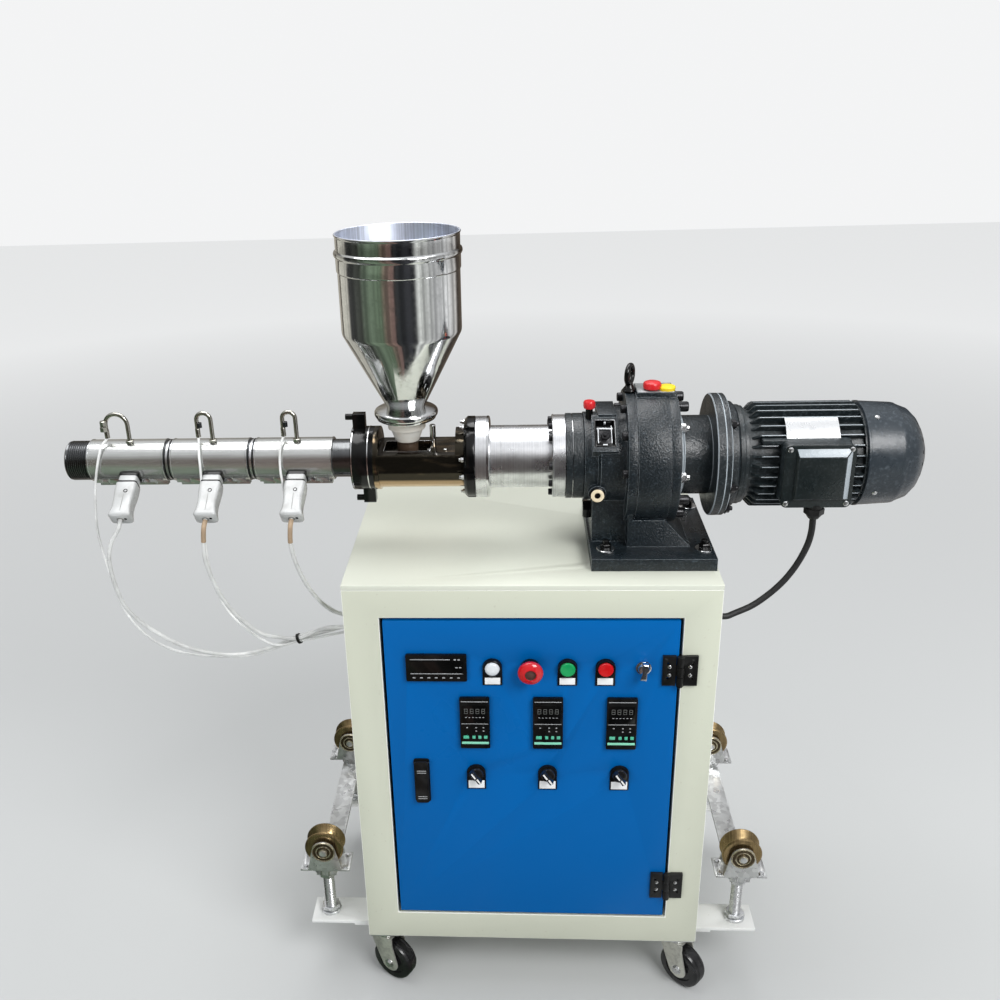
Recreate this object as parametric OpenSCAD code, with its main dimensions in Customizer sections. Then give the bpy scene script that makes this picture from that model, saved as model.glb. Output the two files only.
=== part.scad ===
/* [Cabinet] */
// Width of the cabinet, side to side
cabinet_w = 580; // [540:5:640]
// Depth of the cabinet, front to back
cabinet_d = 425; // [400:5:480]
// Height of the cabinet's sheet housing
cabinet_h = 708; // [680:1:760]
// Height of the housing above the ground
caster_h = 110; // [106:1:118]
// Thickness of the housing's sheet steel
sheet_t = 2; // [1.5:0.5:3]
// Width of the front frame around the doorway
frame_w = 56; // [50:1:64]
// Depth of the folded edge around the doorway
frame_lip = 22; // [18:1:30]
// Thickness of the machined plate on top
top_t = 8; // [6:1:12]

/* [Door] */
// Gap between the door and the doorway
door_gap = 5; // [5:0.5:7]
// Depth of the door pan
door_depth = 18; // [14:1:20]
// Thickness of the door's sheet
door_t = 2; // [1.5:0.5:2.5]
// Height of each hinge
hinge_h = 53; // [45:1:60]
// Width of each hinge leaf
hinge_leaf_w = 27; // [22:1:32]
// Thickness of each hinge leaf
hinge_leaf_t = 5; // [4:0.5:5]
// Radius of the hinge knuckle
knuckle_r = 5.5; // [5:0.25:6]
// Radius of the hinge pin
hinge_pin_r = 2.5; // [2:0.25:3]
// Height of the upper hinge's middle above the doorway's lower edge
upper_hinge_up = 505; // [460:1:540]
// Height of the lower hinge's middle above the doorway's lower edge
lower_hinge_up = 75; // [50:1:120]
// Width of the latch
latch_w = 26; // [22:1:30]
// Height of the latch
latch_h = 86; // [76:1:100]
// Distance of the latch from the door's opening edge
latch_inset = 50; // [40:1:60]
// Height of the latch's middle above the doorway's lower edge
latch_up = 290; // [240:1:340]

/* [Controls] */
// Height of the row of lamps and buttons above the doorway's lower edge
button_up = 509; // [500:1:516]
// Radius of the lamp and button bezels
bezel_r = 15; // [13:0.5:16]
// Radius of the push buttons
button_r = 12; // [10:0.5:12.5]
// Travel of the push buttons
button_travel = 4; // [2:0.5:4]
// Radius of the emergency stop's head
stop_r = 20; // [18:0.5:22]
// Travel of the emergency stop
stop_travel = 4; // [3:0.5:5]
// Short side of the digital instruments
meter_short = 48; // [46:1:50]
// Long side of the digital instruments
meter_long = 96; // [92:1:100]
// Depth of an instrument's bezel
meter_bezel = 6; // [5:0.5:9]
// Depth of an instrument behind the door sheet
meter_depth = 75; // [60:5:90]
// Height of the controllers' middle above the doorway's lower edge
controller_up = 406; // [396:1:412]
// Height of the selector switches above the doorway's lower edge
selector_up = 307; // [290:1:320]
// Sideways pitch of the controllers and the selectors
control_pitch = 117; // [100:1:125]
// Radius of a selector knob
knob_r = 12; // [10:0.5:13]

/* [Casters and outriggers] */
// Radius of the caster wheels
wheel_r = 40; // [38:0.5:42]
// Width of the caster wheels
wheel_w = 28; // [24:1:32]
// Distance of the wheel's axle behind its swivel axis
caster_trail = 16; // [14:1:20]
// Distance of the swivel axes from the cabinet's edges
caster_inset = 28; // [27:1:36]
// Reach of the outrigger plates beside the cabinet
outrigger_reach = 108; // [100:1:120]
// Width of an outrigger plate
outrigger_w = 58; // [50:1:66]
// Thickness of an outrigger plate
outrigger_t = 6; // [5:1:8]
// Distance of the jack screws from the cabinet's front and back
jack_inset = 52; // [45:1:60]
// Distance of the jack screws from the cabinet's sides
jack_out = 76; // [70:1:82]
// Radius of the jack screws
jack_r = 10; // [8:0.5:12]
// Height of the roller bars above the outrigger plates
bar_up = 94; // [80:1:110]
// Width of the roller bars
bar_w = 35; // [30:1:42]
// Radius of the grooved rollers
roller_r = 34.5; // [32:0.5:36]
// Width of the grooved rollers
roller_w = 30; // [26:1:32]

/* [Machine axis] */
// Height of the machine axis above the cabinet's top
axis_up = 146; // [144:1:160]
// Distance of the machine axis behind the cabinet's front
axis_y = 170; // [160:1:212]
// Place of the gear drum's left face, from the cabinet's middle
drum_x = 149; // [140:1:160]

/* [Gear unit and motor] */
// Radius of the gear drum's middle ring
drum_r = 106.5; // [100:0.5:112]
// Radius of the gear drum's side rings
drum_side_r = 105; // [98:0.5:110]
// Length of each side ring
drum_side_l = 13.5; // [12:0.5:16]
// Length of the middle ring
drum_l = 51.5; // [46:0.5:60]
// Radius of the output housing
nose_r = 78; // [74:0.5:82]
// Length of the output housing
nose_l = 63; // [56:0.5:70]
// Radius of the neck between gear drum and motor
neck_r = 62.5; // [58:0.5:68]
// Length of the neck between gear drum and motor
neck_l = 54.5; // [50:0.5:62]
// Radius of the motor flange
motor_flange_r = 97; // [92:0.5:102]
// Length of the motor flange
motor_flange_l = 38; // [34:0.5:42]
// Radius of the motor over its fins
motor_r = 82.5; // [78:0.5:86]
// Length of the finned motor body
motor_l = 187; // [170:1:200]
// Length of the fan cowl with its dome
cowl_l = 108; // [100:1:120]
// Length of the gear unit's foot, along the machine
foot_l = 192; // [186:1:210]
// Width of the gear unit's foot, across the machine
foot_w = 245; // [230:1:260]
// Thickness of the gear unit's foot
foot_t = 20; // [16:1:22]
// Width of the column between foot and output housing
column_w = 110; // [100:1:120]
// Width of the web below the gear drum
web_w = 154; // [140:1:170]

/* [Drive end] */
// Length of the black seal rings
seal_l = 28.5; // [24:0.5:32]
// Radius of the seal rings
seal_r = 68; // [66:0.5:70]
// Length of the adapter flange
adapter_l = 21; // [18:0.5:26]
// Radius of the adapter flange
adapter_r = 66.5; // [62:0.5:68]
// Length of the spacer sleeve
spacer_l = 97.5; // [88:0.5:110]
// Radius of the spacer sleeve
spacer_r = 50; // [46:0.5:54]
// Length of the thrust flange
thrust_l = 24; // [20:0.5:28]
// Length of the slotted ring nut
nut_l = 17; // [14:0.5:20]
// Radius of the thrust flange and the ring nut
thrust_r = 65.5; // [62:0.5:68]

/* [Extruder] */
// Length of the feed section
feed_l = 161; // [150:1:172]
// Radius of the feed section
feed_r = 48; // [46:0.5:52]
// Height of the milled flat above the axis
flat_up = 19; // [17:0.5:21]
// Length of the throat pocket, along the machine
pocket_l = 74; // [68:1:78]
// Width of the throat pocket
pocket_w = 49; // [46:1:52]
// Radius of the barrel
barrel_r = 31; // [29:0.5:33]
// Radius of the barrel's threaded nose
nose_thread_r = 32.5; // [31:0.5:34]
// Length of the threaded nose
nose_thread_l = 37; // [30:1:42]
// Radius of the screw
screw_r = 12.5; // [11:0.5:14]
// Running clearance of the screw in the barrel
screw_gap = 0.1; // [0.05:0.05:0.2]
// Length of the clamp ring
clamp_l = 36; // [32:1:40]
// Radius of the clamp ring
clamp_r = 51.5; // [48:0.5:54]
// Bare length between clamp ring and heaters
bare_l = 32; // [26:1:40]
// Length of each heater band
heater_l = 127; // [120:1:130]
// Gap between the heater bands
heater_gap = 10.5; // [8:0.5:16]
// Thickness of a heater band
heater_t = 3.5; // [3:0.25:5]
// Length of a heater plug
plug_l = 86; // [76:1:92]

/* [Hopper] */
// Radius of the hopper's cylinder
hopper_r = 92.5; // [86:0.5:98]
// Height of the hopper's cylinder
hopper_h = 149; // [130:1:165]
// Height of the hopper's cone
cone_h = 120; // [110:1:135]
// Radius of the cone's lower end
cone_end_r = 30.5; // [28:0.5:34]
// Thickness of the hopper's sheet
hopper_t = 1.5; // [1:0.25:2]
// Radius of the rolled rim below the cone
tray_r = 50.5; // [46:0.5:54]
// Height of the throat collar
collar_h = 48; // [44:1:52]
// Radius of the passage through the throat collar
passage_r = 13; // [11:0.5:14]

/* [Hidden] */
$fn = 96;
seat = 0.3;
run_gap = 0.4;
pin_gap = 0.1;

// Places that follow from the sizes. X runs along the machine, with 0 in the cabinet's middle,
// Y runs back from the cabinet's front and Z up from the ground.
half_w = cabinet_w / 2;
cab_z = caster_h;
cab_top = cab_z + cabinet_h;
axis_z = cab_top + axis_up;
opening_w = cabinet_w - 2 * frame_w;
opening_z0 = cab_z + frame_w;
opening_z1 = cab_top - frame_w;
door_x0 = -opening_w / 2 + door_gap;
door_x1 = opening_w / 2 - door_gap;
door_z0 = opening_z0 + door_gap;
door_z1 = opening_z1 - door_gap;
hinge_x = opening_w / 2 - door_gap / 2;
hinge_y = -knuckle_r - 0.5;
hinge_zs = [opening_z0 + lower_hinge_up, opening_z0 + upper_hinge_up];
button_z = opening_z0 + button_up;
controller_z = opening_z0 + controller_up;
selector_z = opening_z0 + selector_up;
column_x0 = drum_x - nose_l + 13;

// Along the machine axis, to the right of the gear drum
drum_x1 = drum_x + 2 * drum_side_l + drum_l;
motor_flange_x = drum_x1 + neck_l;
motor_x = motor_flange_x + motor_flange_l;
cowl_x = motor_x + motor_l;
machine_x1 = cowl_x + cowl_l;

// Along the machine axis, to the left of the gear drum
nose_x = drum_x - nose_l;
seal_x = nose_x - seal_l;
adapter_x = seal_x - adapter_l;
spacer_x = adapter_x - spacer_l;
thrust_x = spacer_x - thrust_l;
feed_x = thrust_x - feed_l;
clamp_x = feed_x - clamp_l;
heater_x1 = clamp_x - bare_l;
heater_x0 = heater_x1 - 3 * heater_l - 2 * heater_gap;
nose_end_x = heater_x0 - 1 - nose_thread_l;
throat_x = feed_x + 52;

// The middle of the whole machine's box, which is set on the origin
stop_front_y = -28;
mid_x = (nose_end_x + machine_x1) / 2;
mid_y = (stop_front_y + cabinet_d) / 2;

// Heights of the hopper's parts
flat_z = axis_z + flat_up;
collar_z1 = flat_z + collar_h;
cone_z0 = collar_z1 + 21;
hopper_z0 = cone_z0 + cone_h;
hopper_z1 = hopper_z0 + hopper_h;

// Casters: place of each swivel axis and the way that its wheel points
caster_x = half_w - caster_inset;
caster_ys = [caster_inset, cabinet_d - caster_inset];
CASTERS = [[-caster_x, caster_ys[0], -30], [caster_x, caster_ys[0], -42],
    [-caster_x, caster_ys[1], -20], [caster_x, caster_ys[1], -38]];
caster_plate_t = 4;
swivel_t = 9;
fork_top_z = cab_z - caster_plate_t - swivel_t;
fork_t = 2.5;
axle_r = 4;

// Outriggers: the white plates, the screws on them and the rollers on the screws
plate_z = cab_z + 4;
plate_top = plate_z + outrigger_t;
jack_x = half_w + jack_out;
jack_ys = [jack_inset, cabinet_d - jack_inset];
bar_z = plate_top + bar_up;
bar_t = 5;
pad_t = 11;
bracket_z = bar_z + bar_t + pad_t;
bracket_t = 3;
bracket_l = 88;
bracket_w = 46;
cheek_t = 3;
cheek_r = 21;
roller_z = bracket_z + bracket_t + 5 + roller_r;
roller_pin_r = 6;
bar_overhang = 16;
ROLLERS = [[-jack_x, jack_ys[0]], [jack_x, jack_ys[0]], [-jack_x, jack_ys[1]], [jack_x, jack_ys[1]]];

// Heater plugs stand out of the bands, forward and down
heater_xs = [for (k = [0 : 2]) heater_x0 + heater_l / 2 + k * (heater_l + heater_gap)];
plug_pitch = 56;
plug_w = 29;
plug_d = 24;
plug_base_l = 16;
plug_from = barrel_r + heater_t + seat - 4;
function plug_x(k) = heater_xs[k] + 5;
function plug_tip(k, out) = [plug_x(k), axis_y - (plug_from + out) * sin(plug_pitch),
    axis_z - (plug_from + out) * cos(plug_pitch)];

// Thermocouples: a bent tube stands on each band, with its lead at the left leg
hook_y = axis_y - 10;
hook_r = 3.5;
hook_bends = [18, 11.5, 10.5];
hook_top = 82;
hook_end = 42;
function hook_x(k) = heater_xs[k] + 6;
// A lead leaves its tube slanting, so that its end is cut this far below the tube
lead_drop = 2.2;
function hook_tail(k) = [hook_x(k) - 2 * hook_bends[k], hook_y, axis_z + hook_end - lead_drop];

// Routes of the cables, from the machine to the cabinet's sides
wall_l = -half_w - 6;
HEATER_1 = concat([plug_tip(0, plug_l), plug_tip(0, plug_l + 18)],
    [[-662, 55, 865], [-670, 57, 836], [-672, 63, 800], [-667, 75, 745], [-648, 90, 702],
    [-604, 105, 656], [-555, 113, 632], [-498, 119, 624], [-440, 121, 638], [-391, 121, 659],
    [-345, 112, 678], [wall_l - 15, 105, 686], [wall_l, 105, 686]]);
HEATER_2 = concat([plug_tip(1, plug_l), plug_tip(1, plug_l + 18)],
    [[-513, 57, 862], [-514, 58, 832], [-509, 66, 794], [-500, 80, 750], [-482, 98, 705],
    [-454, 111, 670], [-425, 114, 661], [-391, 114, 659], [-345, 103, 684],
    [wall_l - 15, 95, 692], [wall_l, 95, 692]]);
HEATER_3 = concat([plug_tip(2, plug_l), plug_tip(2, plug_l + 18)],
    [[-374, 57, 860], [-370, 61, 828], [-360, 69, 790], [-345, 82, 752], [-328, 96, 724],
    [wall_l - 12, 105, 710], [wall_l, 105, 710]]);
LEAD_1 = concat([hook_tail(0)],
    [[-689, 147, 997], [-692, 135, 982], [-697, 129, 960], [-704, 127, 928], [-711, 127, 880],
    [-712, 127, 836], [-704, 127, 771], [-690, 127, 705], [-655, 127, 652], [-594, 127, 621],
    [-500, 127, 615], [-440, 124, 632], [-391, 120, 653], [wall_l - 15, 115, 680], [wall_l, 115, 680]]);
LEAD_2 = concat([hook_tail(1)],
    [[-529, 147, 997], [-527, 135, 982], [-526, 129, 958], [-527, 127, 930], [-531, 127, 873],
    [-534, 127, 800], [-522, 127, 730], [-495, 125, 684], [-455, 118, 654], [-425, 112, 647],
    [-391, 115, 653], [wall_l - 15, 105, 676], [wall_l, 105, 676]]);
LEAD_3 = concat([hook_tail(2)],
    [[-395, 147, 997], [-396, 135, 982], [-396, 129, 957], [-394, 127, 934], [-392, 127, 872],
    [-388, 125, 820], [-376, 121, 772], [-352, 116, 734], [wall_l - 15, 114, 704], [wall_l, 114, 704]]);
gland_x = 431;
gland_y = 78;
gland_z = axis_z - 50 - 22;
wall_r = half_w + 6;
MOTOR_ROUTE = [[gland_x, gland_y, gland_z], [gland_x, gland_y, gland_z - 22], [427, 78, 846], [415, 77, 816],
    [398, 75, 789], [376, 72, 766], [350, 68, 747], [322, 64, 735], [wall_r + 14, 62, 731], [wall_r, 62, 731]];
heater_cable_r = 3.25;
lead_r = 2;
motor_cable_r = 5;
TIE = [-391, 117.5, 656.5];
tie_r = 9;
tie_t = 0.8;

// Rounded blocks and turned shapes
module block(x, y, z) {
    translate([x[0], y[0], z[0]])
        cube([x[1] - x[0], y[1] - y[0], z[1] - z[0]]);
}

module rounded_rect(w, h, r) {
    square([w - 2 * r, h], center = true);
    square([w, h - 2 * r], center = true);
    for (sx = [-1, 1], sz = [-1, 1])
        translate([sx * (w / 2 - r), sz * (h / 2 - r)])
            circle(r = r, $fn = 48);
}

// A lug: straight sides from its foot, x0 to x1 at height z0, that run into a round end.
// They meet the round end a little inside it, so that no sliver is left between them.
tuck = 0.05;
function touch(p, c, r, side) = let (d = c - p, a = atan2(-d[1], -d[0]) + side * acos(r / norm(d)))
    c + (r - tuck) * [cos(a), sin(a)];

module lug(x0, x1, z0, z1, c, r) {
    translate(c)
        circle(r = r);
    polygon([[x0, z0], [x1, z0], [x1, z1], touch([x1, z1], c, r, 1), c, touch([x0, z1], c, r, -1), [x0, z1]]);
}

// An upright plate of an outline drawn in X and Z, from y0 back to y1
module upright(y0, y1) {
    translate([0, y1, 0])
        rotate([90, 0, 0])
            linear_extrude(y1 - y0)
                children();
}

// A turned shape on the machine axis, from a list of [place, radius]
module turned(outline) {
    translate([0, axis_y, axis_z])
        rotate([0, 90, 0])
            rotate_extrude()
                polygon([for (p = outline) [p[1], p[0]]]);
}

module rod_x(x0, x1, r, y = axis_y, z = axis_z) {
    translate([x0, y, z])
        rotate([0, 90, 0])
            cylinder(r = r, h = x1 - x0);
}

module rod_y(x, z, y0, y1, r) {
    translate([x, y0, z])
        rotate([-90, 0, 0])
            cylinder(r = r, h = y1 - y0);
}

module rod_z(x, y, z0, z1, r) {
    translate([x, y, z0])
        cylinder(r = r, h = z1 - z0);
}

module hex_z(x, y, z0, z1, across) {
    translate([x, y, z0])
        cylinder(d = across / cos(30), h = z1 - z0, $fn = 6);
}

// A cable: rings of corners round each point of the route, joined into one tube
function unit(v) = v / norm(v);
function heading(p, i) = unit(p[min(i + 1, len(p) - 1)] - p[max(i - 1, 0)]);
function ring_out(d) = unit([0, 1, 0] - d * d[1]);
function ring(p, i, r, sides) = let (d = heading(p, i), u = ring_out(d), v = cross(d, u))
    [for (k = [0 : sides - 1]) p[i] + r * (cos(360 * k / sides) * u + sin(360 * k / sides) * v)];

module cable(route, r, sides) {
    count = len(route);
    corners = [for (i = [0 : count - 1]) each ring(route, i, r, sides)];
    start = [for (k = [0 : sides - 1]) k];
    end = [for (k = [sides - 1 : -1 : 0]) (count - 1) * sides + k];
    walls = [for (i = [0 : count - 2], k = [0 : sides - 1])
        let (n = (k + 1) % sides, a = i * sides) [a + k, a + sides + k, a + sides + n, a + n]];
    polyhedron(corners, concat([start], walls, [end]));
}

// Cabinet
module cabinet_top() {
    color("ghostwhite")
        difference() {
            block([-half_w, half_w], [0, cabinet_d], [cab_top - top_t, cab_top]);
            for (x = foot_bolt_xs(), y = foot_bolt_ys())
                rod_z(x, y, cab_top - top_t - 1, cab_top + 1, foot_bolt_r);
        }
}

module cabinet_walls() {
    color("gainsboro")
        difference() {
            block([-half_w, half_w], [frame_lip, cabinet_d], [cab_z + sheet_t, cab_top - top_t]);
            block([-half_w + sheet_t, half_w - sheet_t], [frame_lip - 1, cabinet_d - sheet_t],
                [cab_z, cab_top]);
        }
}

module cabinet_floor() {
    color("gainsboro")
        difference() {
            block([-half_w, half_w], [sheet_t, cabinet_d], [cab_z, cab_z + sheet_t]);
            for (s = [-1, 1])
                block(beside(s, -sheet_t, 1), [0, frame_lip], [cab_z - 1, cab_z + sheet_t + 1]);
        }
}

module front_surround() {
    color("gainsboro")
        difference() {
            block([-half_w, half_w], [0, frame_lip], [cab_z, cab_top - top_t]);
            block([-opening_w / 2, opening_w / 2], [-1, frame_lip + 1], [opening_z0, opening_z1]);
            difference() {
                block([-half_w + sheet_t, half_w - sheet_t], [sheet_t, frame_lip + 1],
                    [cab_z - 1, cab_top - top_t - sheet_t]);
                block([-opening_w / 2 - sheet_t, opening_w / 2 + sheet_t], [0, frame_lip + 2],
                    [opening_z0 - sheet_t, opening_z1 + sheet_t]);
            }
        }
}

// Hinges: the outer knuckles and the pin are fixed, the middle knuckle turns with the door
knuckle_h = (hinge_h - 2) / 3;

module hinge_screw_holes(side, z) {
    for (dz = [-1, 1])
        rod_y(hinge_x + side * (hinge_leaf_w - 8), z + dz * hinge_h / 4, -hinge_leaf_t - 1, 1, 2.2);
}

module fixed_leaf(z) {
    difference() {
        union() {
            block([hinge_x + 6.5, hinge_x + hinge_leaf_w], [-hinge_leaf_t, 0], [z - hinge_h / 2, z + hinge_h / 2]);
            for (s = [-1, 1])
                fixed_knuckle(z + s * (hinge_h - knuckle_h) / 2);
        }
        hinge_screw_holes(1, z);
    }
    rod_z(hinge_x, hinge_y, z - hinge_h / 2, z + hinge_h / 2, hinge_pin_r);
}

module fixed_knuckle(z) {
    rod_z(hinge_x, hinge_y, z - knuckle_h / 2, z + knuckle_h / 2, knuckle_r);
    block([hinge_x, hinge_x + 7], [-hinge_leaf_t, -1], [z - knuckle_h / 2, z + knuckle_h / 2]);
}

module moving_leaf(z) {
    difference() {
        union() {
            block([hinge_x - hinge_leaf_w, hinge_x - 6.5], [-hinge_leaf_t, 0],
                [z - hinge_h / 2, z + hinge_h / 2]);
            rod_z(hinge_x, hinge_y, z - knuckle_h / 2, z + knuckle_h / 2, knuckle_r);
            block([hinge_x - 7, hinge_x], [-hinge_leaf_t, -1], [z - knuckle_h / 2, z + knuckle_h / 2]);
        }
        rod_z(hinge_x, hinge_y, z - hinge_h, z + hinge_h, hinge_pin_r + pin_gap);
        hinge_screw_holes(-1, z);
    }
}

module frame_hinge_leaves() {
    color("black")
        for (z = hinge_zs)
            fixed_leaf(z);
}

// Casters
module caster_plates() {
    color("lightgray")
        for (c = CASTERS) {
            block([c[0] - 26, c[0] + 26], [c[1] - 26, c[1] + 26], [cab_z - caster_plate_t, cab_z]);
            rod_z(c[0], c[1], fork_top_z + run_gap, cab_z - caster_plate_t, 12);
        }
}

// A pressed fork in its own place: the swivel axis at 0, the axle behind it at the trail
module fork_cheek_outline() {
    lug(23, -20, fork_top_z, fork_top_z - 14, [caster_trail, wheel_r], 17);
}

module caster_fork(k) {
    color("lightgray")
        translate([CASTERS[k][0], CASTERS[k][1], 0])
            rotate([0, 0, CASTERS[k][2]]) {
                for (s = [-1, 1])
                    translate([0, s * (wheel_w / 2 + 2 + fork_t / 2) + fork_t / 2, 0])
                        rotate([90, 0, 0])
                            linear_extrude(fork_t)
                                fork_cheek_outline();
                block([-18, 21], [-wheel_w / 2 - 3, wheel_w / 2 + 3], [fork_top_z - fork_t, fork_top_z - 0.2]);
                rod_y(caster_trail, wheel_r, -wheel_w / 2 - 9, wheel_w / 2 + 9, axle_r);
            }
}

module caster_wheel(k) {
    color("black")
        translate([CASTERS[k][0], CASTERS[k][1], 0])
            rotate([0, 0, CASTERS[k][2]])
                translate([caster_trail, wheel_w / 2, wheel_r])
                    rotate([90, 0, 0])
                        difference() {
                            rotate_extrude()
                                polygon([[0, 0], [wheel_r - 5, 0], [wheel_r - 1.5, 2], [wheel_r, 7],
                                    [wheel_r, wheel_w - 7], [wheel_r - 1.5, wheel_w - 2],
                                    [wheel_r - 5, wheel_w], [0, wheel_w]]);
                            translate([0, 0, -1])
                                cylinder(r = axle_r + pin_gap, h = wheel_w + 2);
                        }
}

// Outriggers: a span beside the cabinet, on its left (-1) or right (1) side
function beside(side, from, to) = side < 0 ? [-half_w - to, -half_w - from] : [half_w + from, half_w + to];

module outrigger_plates() {
    color("white")
        for (s = [-1, 1], y = jack_ys)
            difference() {
                union() {
                    block(beside(s, 0, outrigger_reach), [y - outrigger_w / 2, y + outrigger_w / 2],
                        [plate_z, plate_top]);
                    block(beside(s, 0, 30), [y - outrigger_w / 2, y + outrigger_w / 2], [cab_z, plate_z]);
                }
                rod_z(s * jack_x, y, plate_z - 1, plate_top + 1, jack_r + seat);
            }
}

module jack_screw(x, y) {
    rod_z(x, y, plate_z, bracket_z, jack_r);
    rod_z(x, y, plate_top, plate_top + 6, 18);
    hex_z(x, y, plate_top + 6, plate_top + 14, 30);
    hex_z(x, y, bar_z - 10, bar_z, 30);
}

module jack_screws() {
    color("silver")
        for (r = ROLLERS)
            jack_screw(r[0], r[1]);
}

module bracket_cheek_outline() {
    lug(-30, 30, bracket_z, bracket_z + bracket_t, [0, roller_z], cheek_r);
}

module roller_bracket(x, y) {
    difference() {
        block([x - bracket_l / 2, x + bracket_l / 2], [y - bracket_w / 2, y + bracket_w / 2],
            [bracket_z, bracket_z + bracket_t]);
        for (sx = [-1, 1], sy = [-1, 1])
            rod_z(x + sx * (bracket_l / 2 - 8), y + sy * (bracket_w / 2 - 8), bracket_z - 1,
                bracket_z + bracket_t + 1, 3);
    }
    for (s = [-1, 1])
        translate([x, 0, 0])
            upright(y + s * (bracket_w / 2 - cheek_t / 2) - cheek_t / 2,
                y + s * (bracket_w / 2 - cheek_t / 2) + cheek_t / 2)
                bracket_cheek_outline();
    rod_y(x, roller_z, y - bracket_w / 2 - 5, y + bracket_w / 2 + 5, roller_pin_r);
}

module roller_beams() {
    color("silver")
        for (s = [-1, 1]) {
            difference() {
                block([s * jack_x - bar_w / 2, s * jack_x + bar_w / 2],
                    [jack_ys[0] - bar_overhang, jack_ys[1] + bar_overhang], [bar_z, bar_z + bar_t]);
                for (y = jack_ys)
                    rod_z(s * jack_x, y, bar_z - 1, bar_z + bar_t + 1, jack_r + seat);
            }
            for (y = jack_ys) {
                difference() {
                    rod_z(s * jack_x, y, bar_z + bar_t, bracket_z, 23);
                    rod_z(s * jack_x, y, bar_z + bar_t - 1, bracket_z + 1, jack_r + seat);
                }
                roller_bracket(s * jack_x, y);
            }
        }
}

module roller(k) {
    color("goldenrod")
        translate([ROLLERS[k][0], ROLLERS[k][1] + roller_w / 2, roller_z])
            rotate([90, 0, 0])
                difference() {
                    rotate_extrude()
                        polygon([[0, 0], [roller_r - 2, 0], [roller_r, 2], [roller_r, 4],
                            [roller_r - 11, roller_w / 2 - 4], [roller_r - 12, roller_w / 2],
                            [roller_r - 11, roller_w / 2 + 4], [roller_r, roller_w - 4],
                            [roller_r, roller_w - 2], [roller_r - 2, roller_w], [0, roller_w]]);
                    translate([0, 0, -1])
                        cylinder(r = roller_pin_r + pin_gap, h = roller_w + 2);
                }
}

// Gear unit: one casting of foot, column, web, output housing and drum
pad_z = axis_z + drum_r + 4;
window_x = nose_x + 30;
seam_w = 1.5;
seam_d = 2;
gauge_r = 12;
gauge_x = nose_x + 19;
gauge_y = axis_y - 74.5;
gauge_z = axis_z - 37;
foot_bolt_r = 6.5;
foot_x0 = column_x0 - 4;
function foot_bolt_xs() = [foot_x0 + 24, foot_x0 + foot_l - 20];
function foot_bolt_ys() = [axis_y - foot_w / 2 + 38, axis_y + foot_w / 2 - 38];

module gear_foot() {
    difference() {
        block([foot_x0, foot_x0 + foot_l], [axis_y - foot_w / 2, axis_y + foot_w / 2], [cab_top, cab_top + foot_t]);
        for (x = foot_bolt_xs(), y = foot_bolt_ys())
            rod_z(x, y, cab_top - 1, cab_top + foot_t + 1, foot_bolt_r);
    }
}

module gear_web() {
    upright(axis_y - web_w / 2, axis_y + web_w / 2)
        polygon([[drum_x + 4, cab_top + foot_t - 2], [drum_x + 104, cab_top + foot_t - 2],
            [drum_x1 - 17, axis_z - 81], [drum_x + 12, axis_z - 81], [drum_x + 12, axis_z - 60], [drum_x + 4, axis_z - 60]]);
}

module gearbox_housing() {
    color("darkslategray") {
        gear_foot();
        gear_web();
        block([column_x0, drum_x + 8], [axis_y - column_w / 2, axis_y + column_w / 2], [cab_top + foot_t - 1, axis_z - 10]);
        difference() {
            union() {
                turned([[nose_x, 0], [nose_x, nose_r - 8], [nose_x + 20, nose_r - 8], [nose_x + 24, nose_r],
                    [drum_x, nose_r], [drum_x, drum_side_r], [drum_x + drum_side_l, drum_side_r],
                    [drum_x + drum_side_l, drum_side_r - seam_d], [drum_x + drum_side_l + seam_w, drum_side_r - seam_d],
                    [drum_x + drum_side_l + seam_w, drum_r], [drum_x1 - drum_side_l - seam_w, drum_r],
                    [drum_x1 - drum_side_l - seam_w, drum_side_r - seam_d], [drum_x1 - drum_side_l, drum_side_r - seam_d],
                    [drum_x1 - drum_side_l, drum_side_r], [drum_x1, drum_side_r], [drum_x1, 0]]);
                window_boss();
            }
            window_pocket();
        }
        block([drum_x + drum_side_l + 3, drum_x1 - 4], [axis_y - 26, axis_y + 26], [axis_z + drum_r - 20, pad_z]);
        rod_y(gauge_x, gauge_z, gauge_y, axis_y - 25, gauge_r + 1.5);
    }
}

// A low boss on the output housing, its sloping face recessed for a cover plate
boss_rise = 2.5;
pocket_d = 8;

module boss_frame() {
    translate([window_x, axis_y, axis_z])
        rotate([45, 0, 0])
            children();
}

module window_boss() {
    block([window_x - 10, window_x + 18], [axis_y - 38, axis_y + 30],
        [axis_z + nose_r - 23, axis_z + nose_r + boss_rise]);
    boss_frame()
        translate([-20, -31, nose_r - 20])
            cube([40, 62, 20 + boss_rise]);
}

module window_pocket() {
    boss_frame()
        translate([-16, -23, nose_r + boss_rise - pocket_d])
            cube([32, 46, pocket_d + 1]);
}

module gearbox_input_cover() {
    color("darkslategray")
        turned([[drum_x1, 0], [drum_x1, neck_r + 18], [drum_x1 + 6, neck_r + 18], [drum_x1 + 10, neck_r],
            [motor_flange_x, neck_r], [motor_flange_x, 0]]);
}

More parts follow.
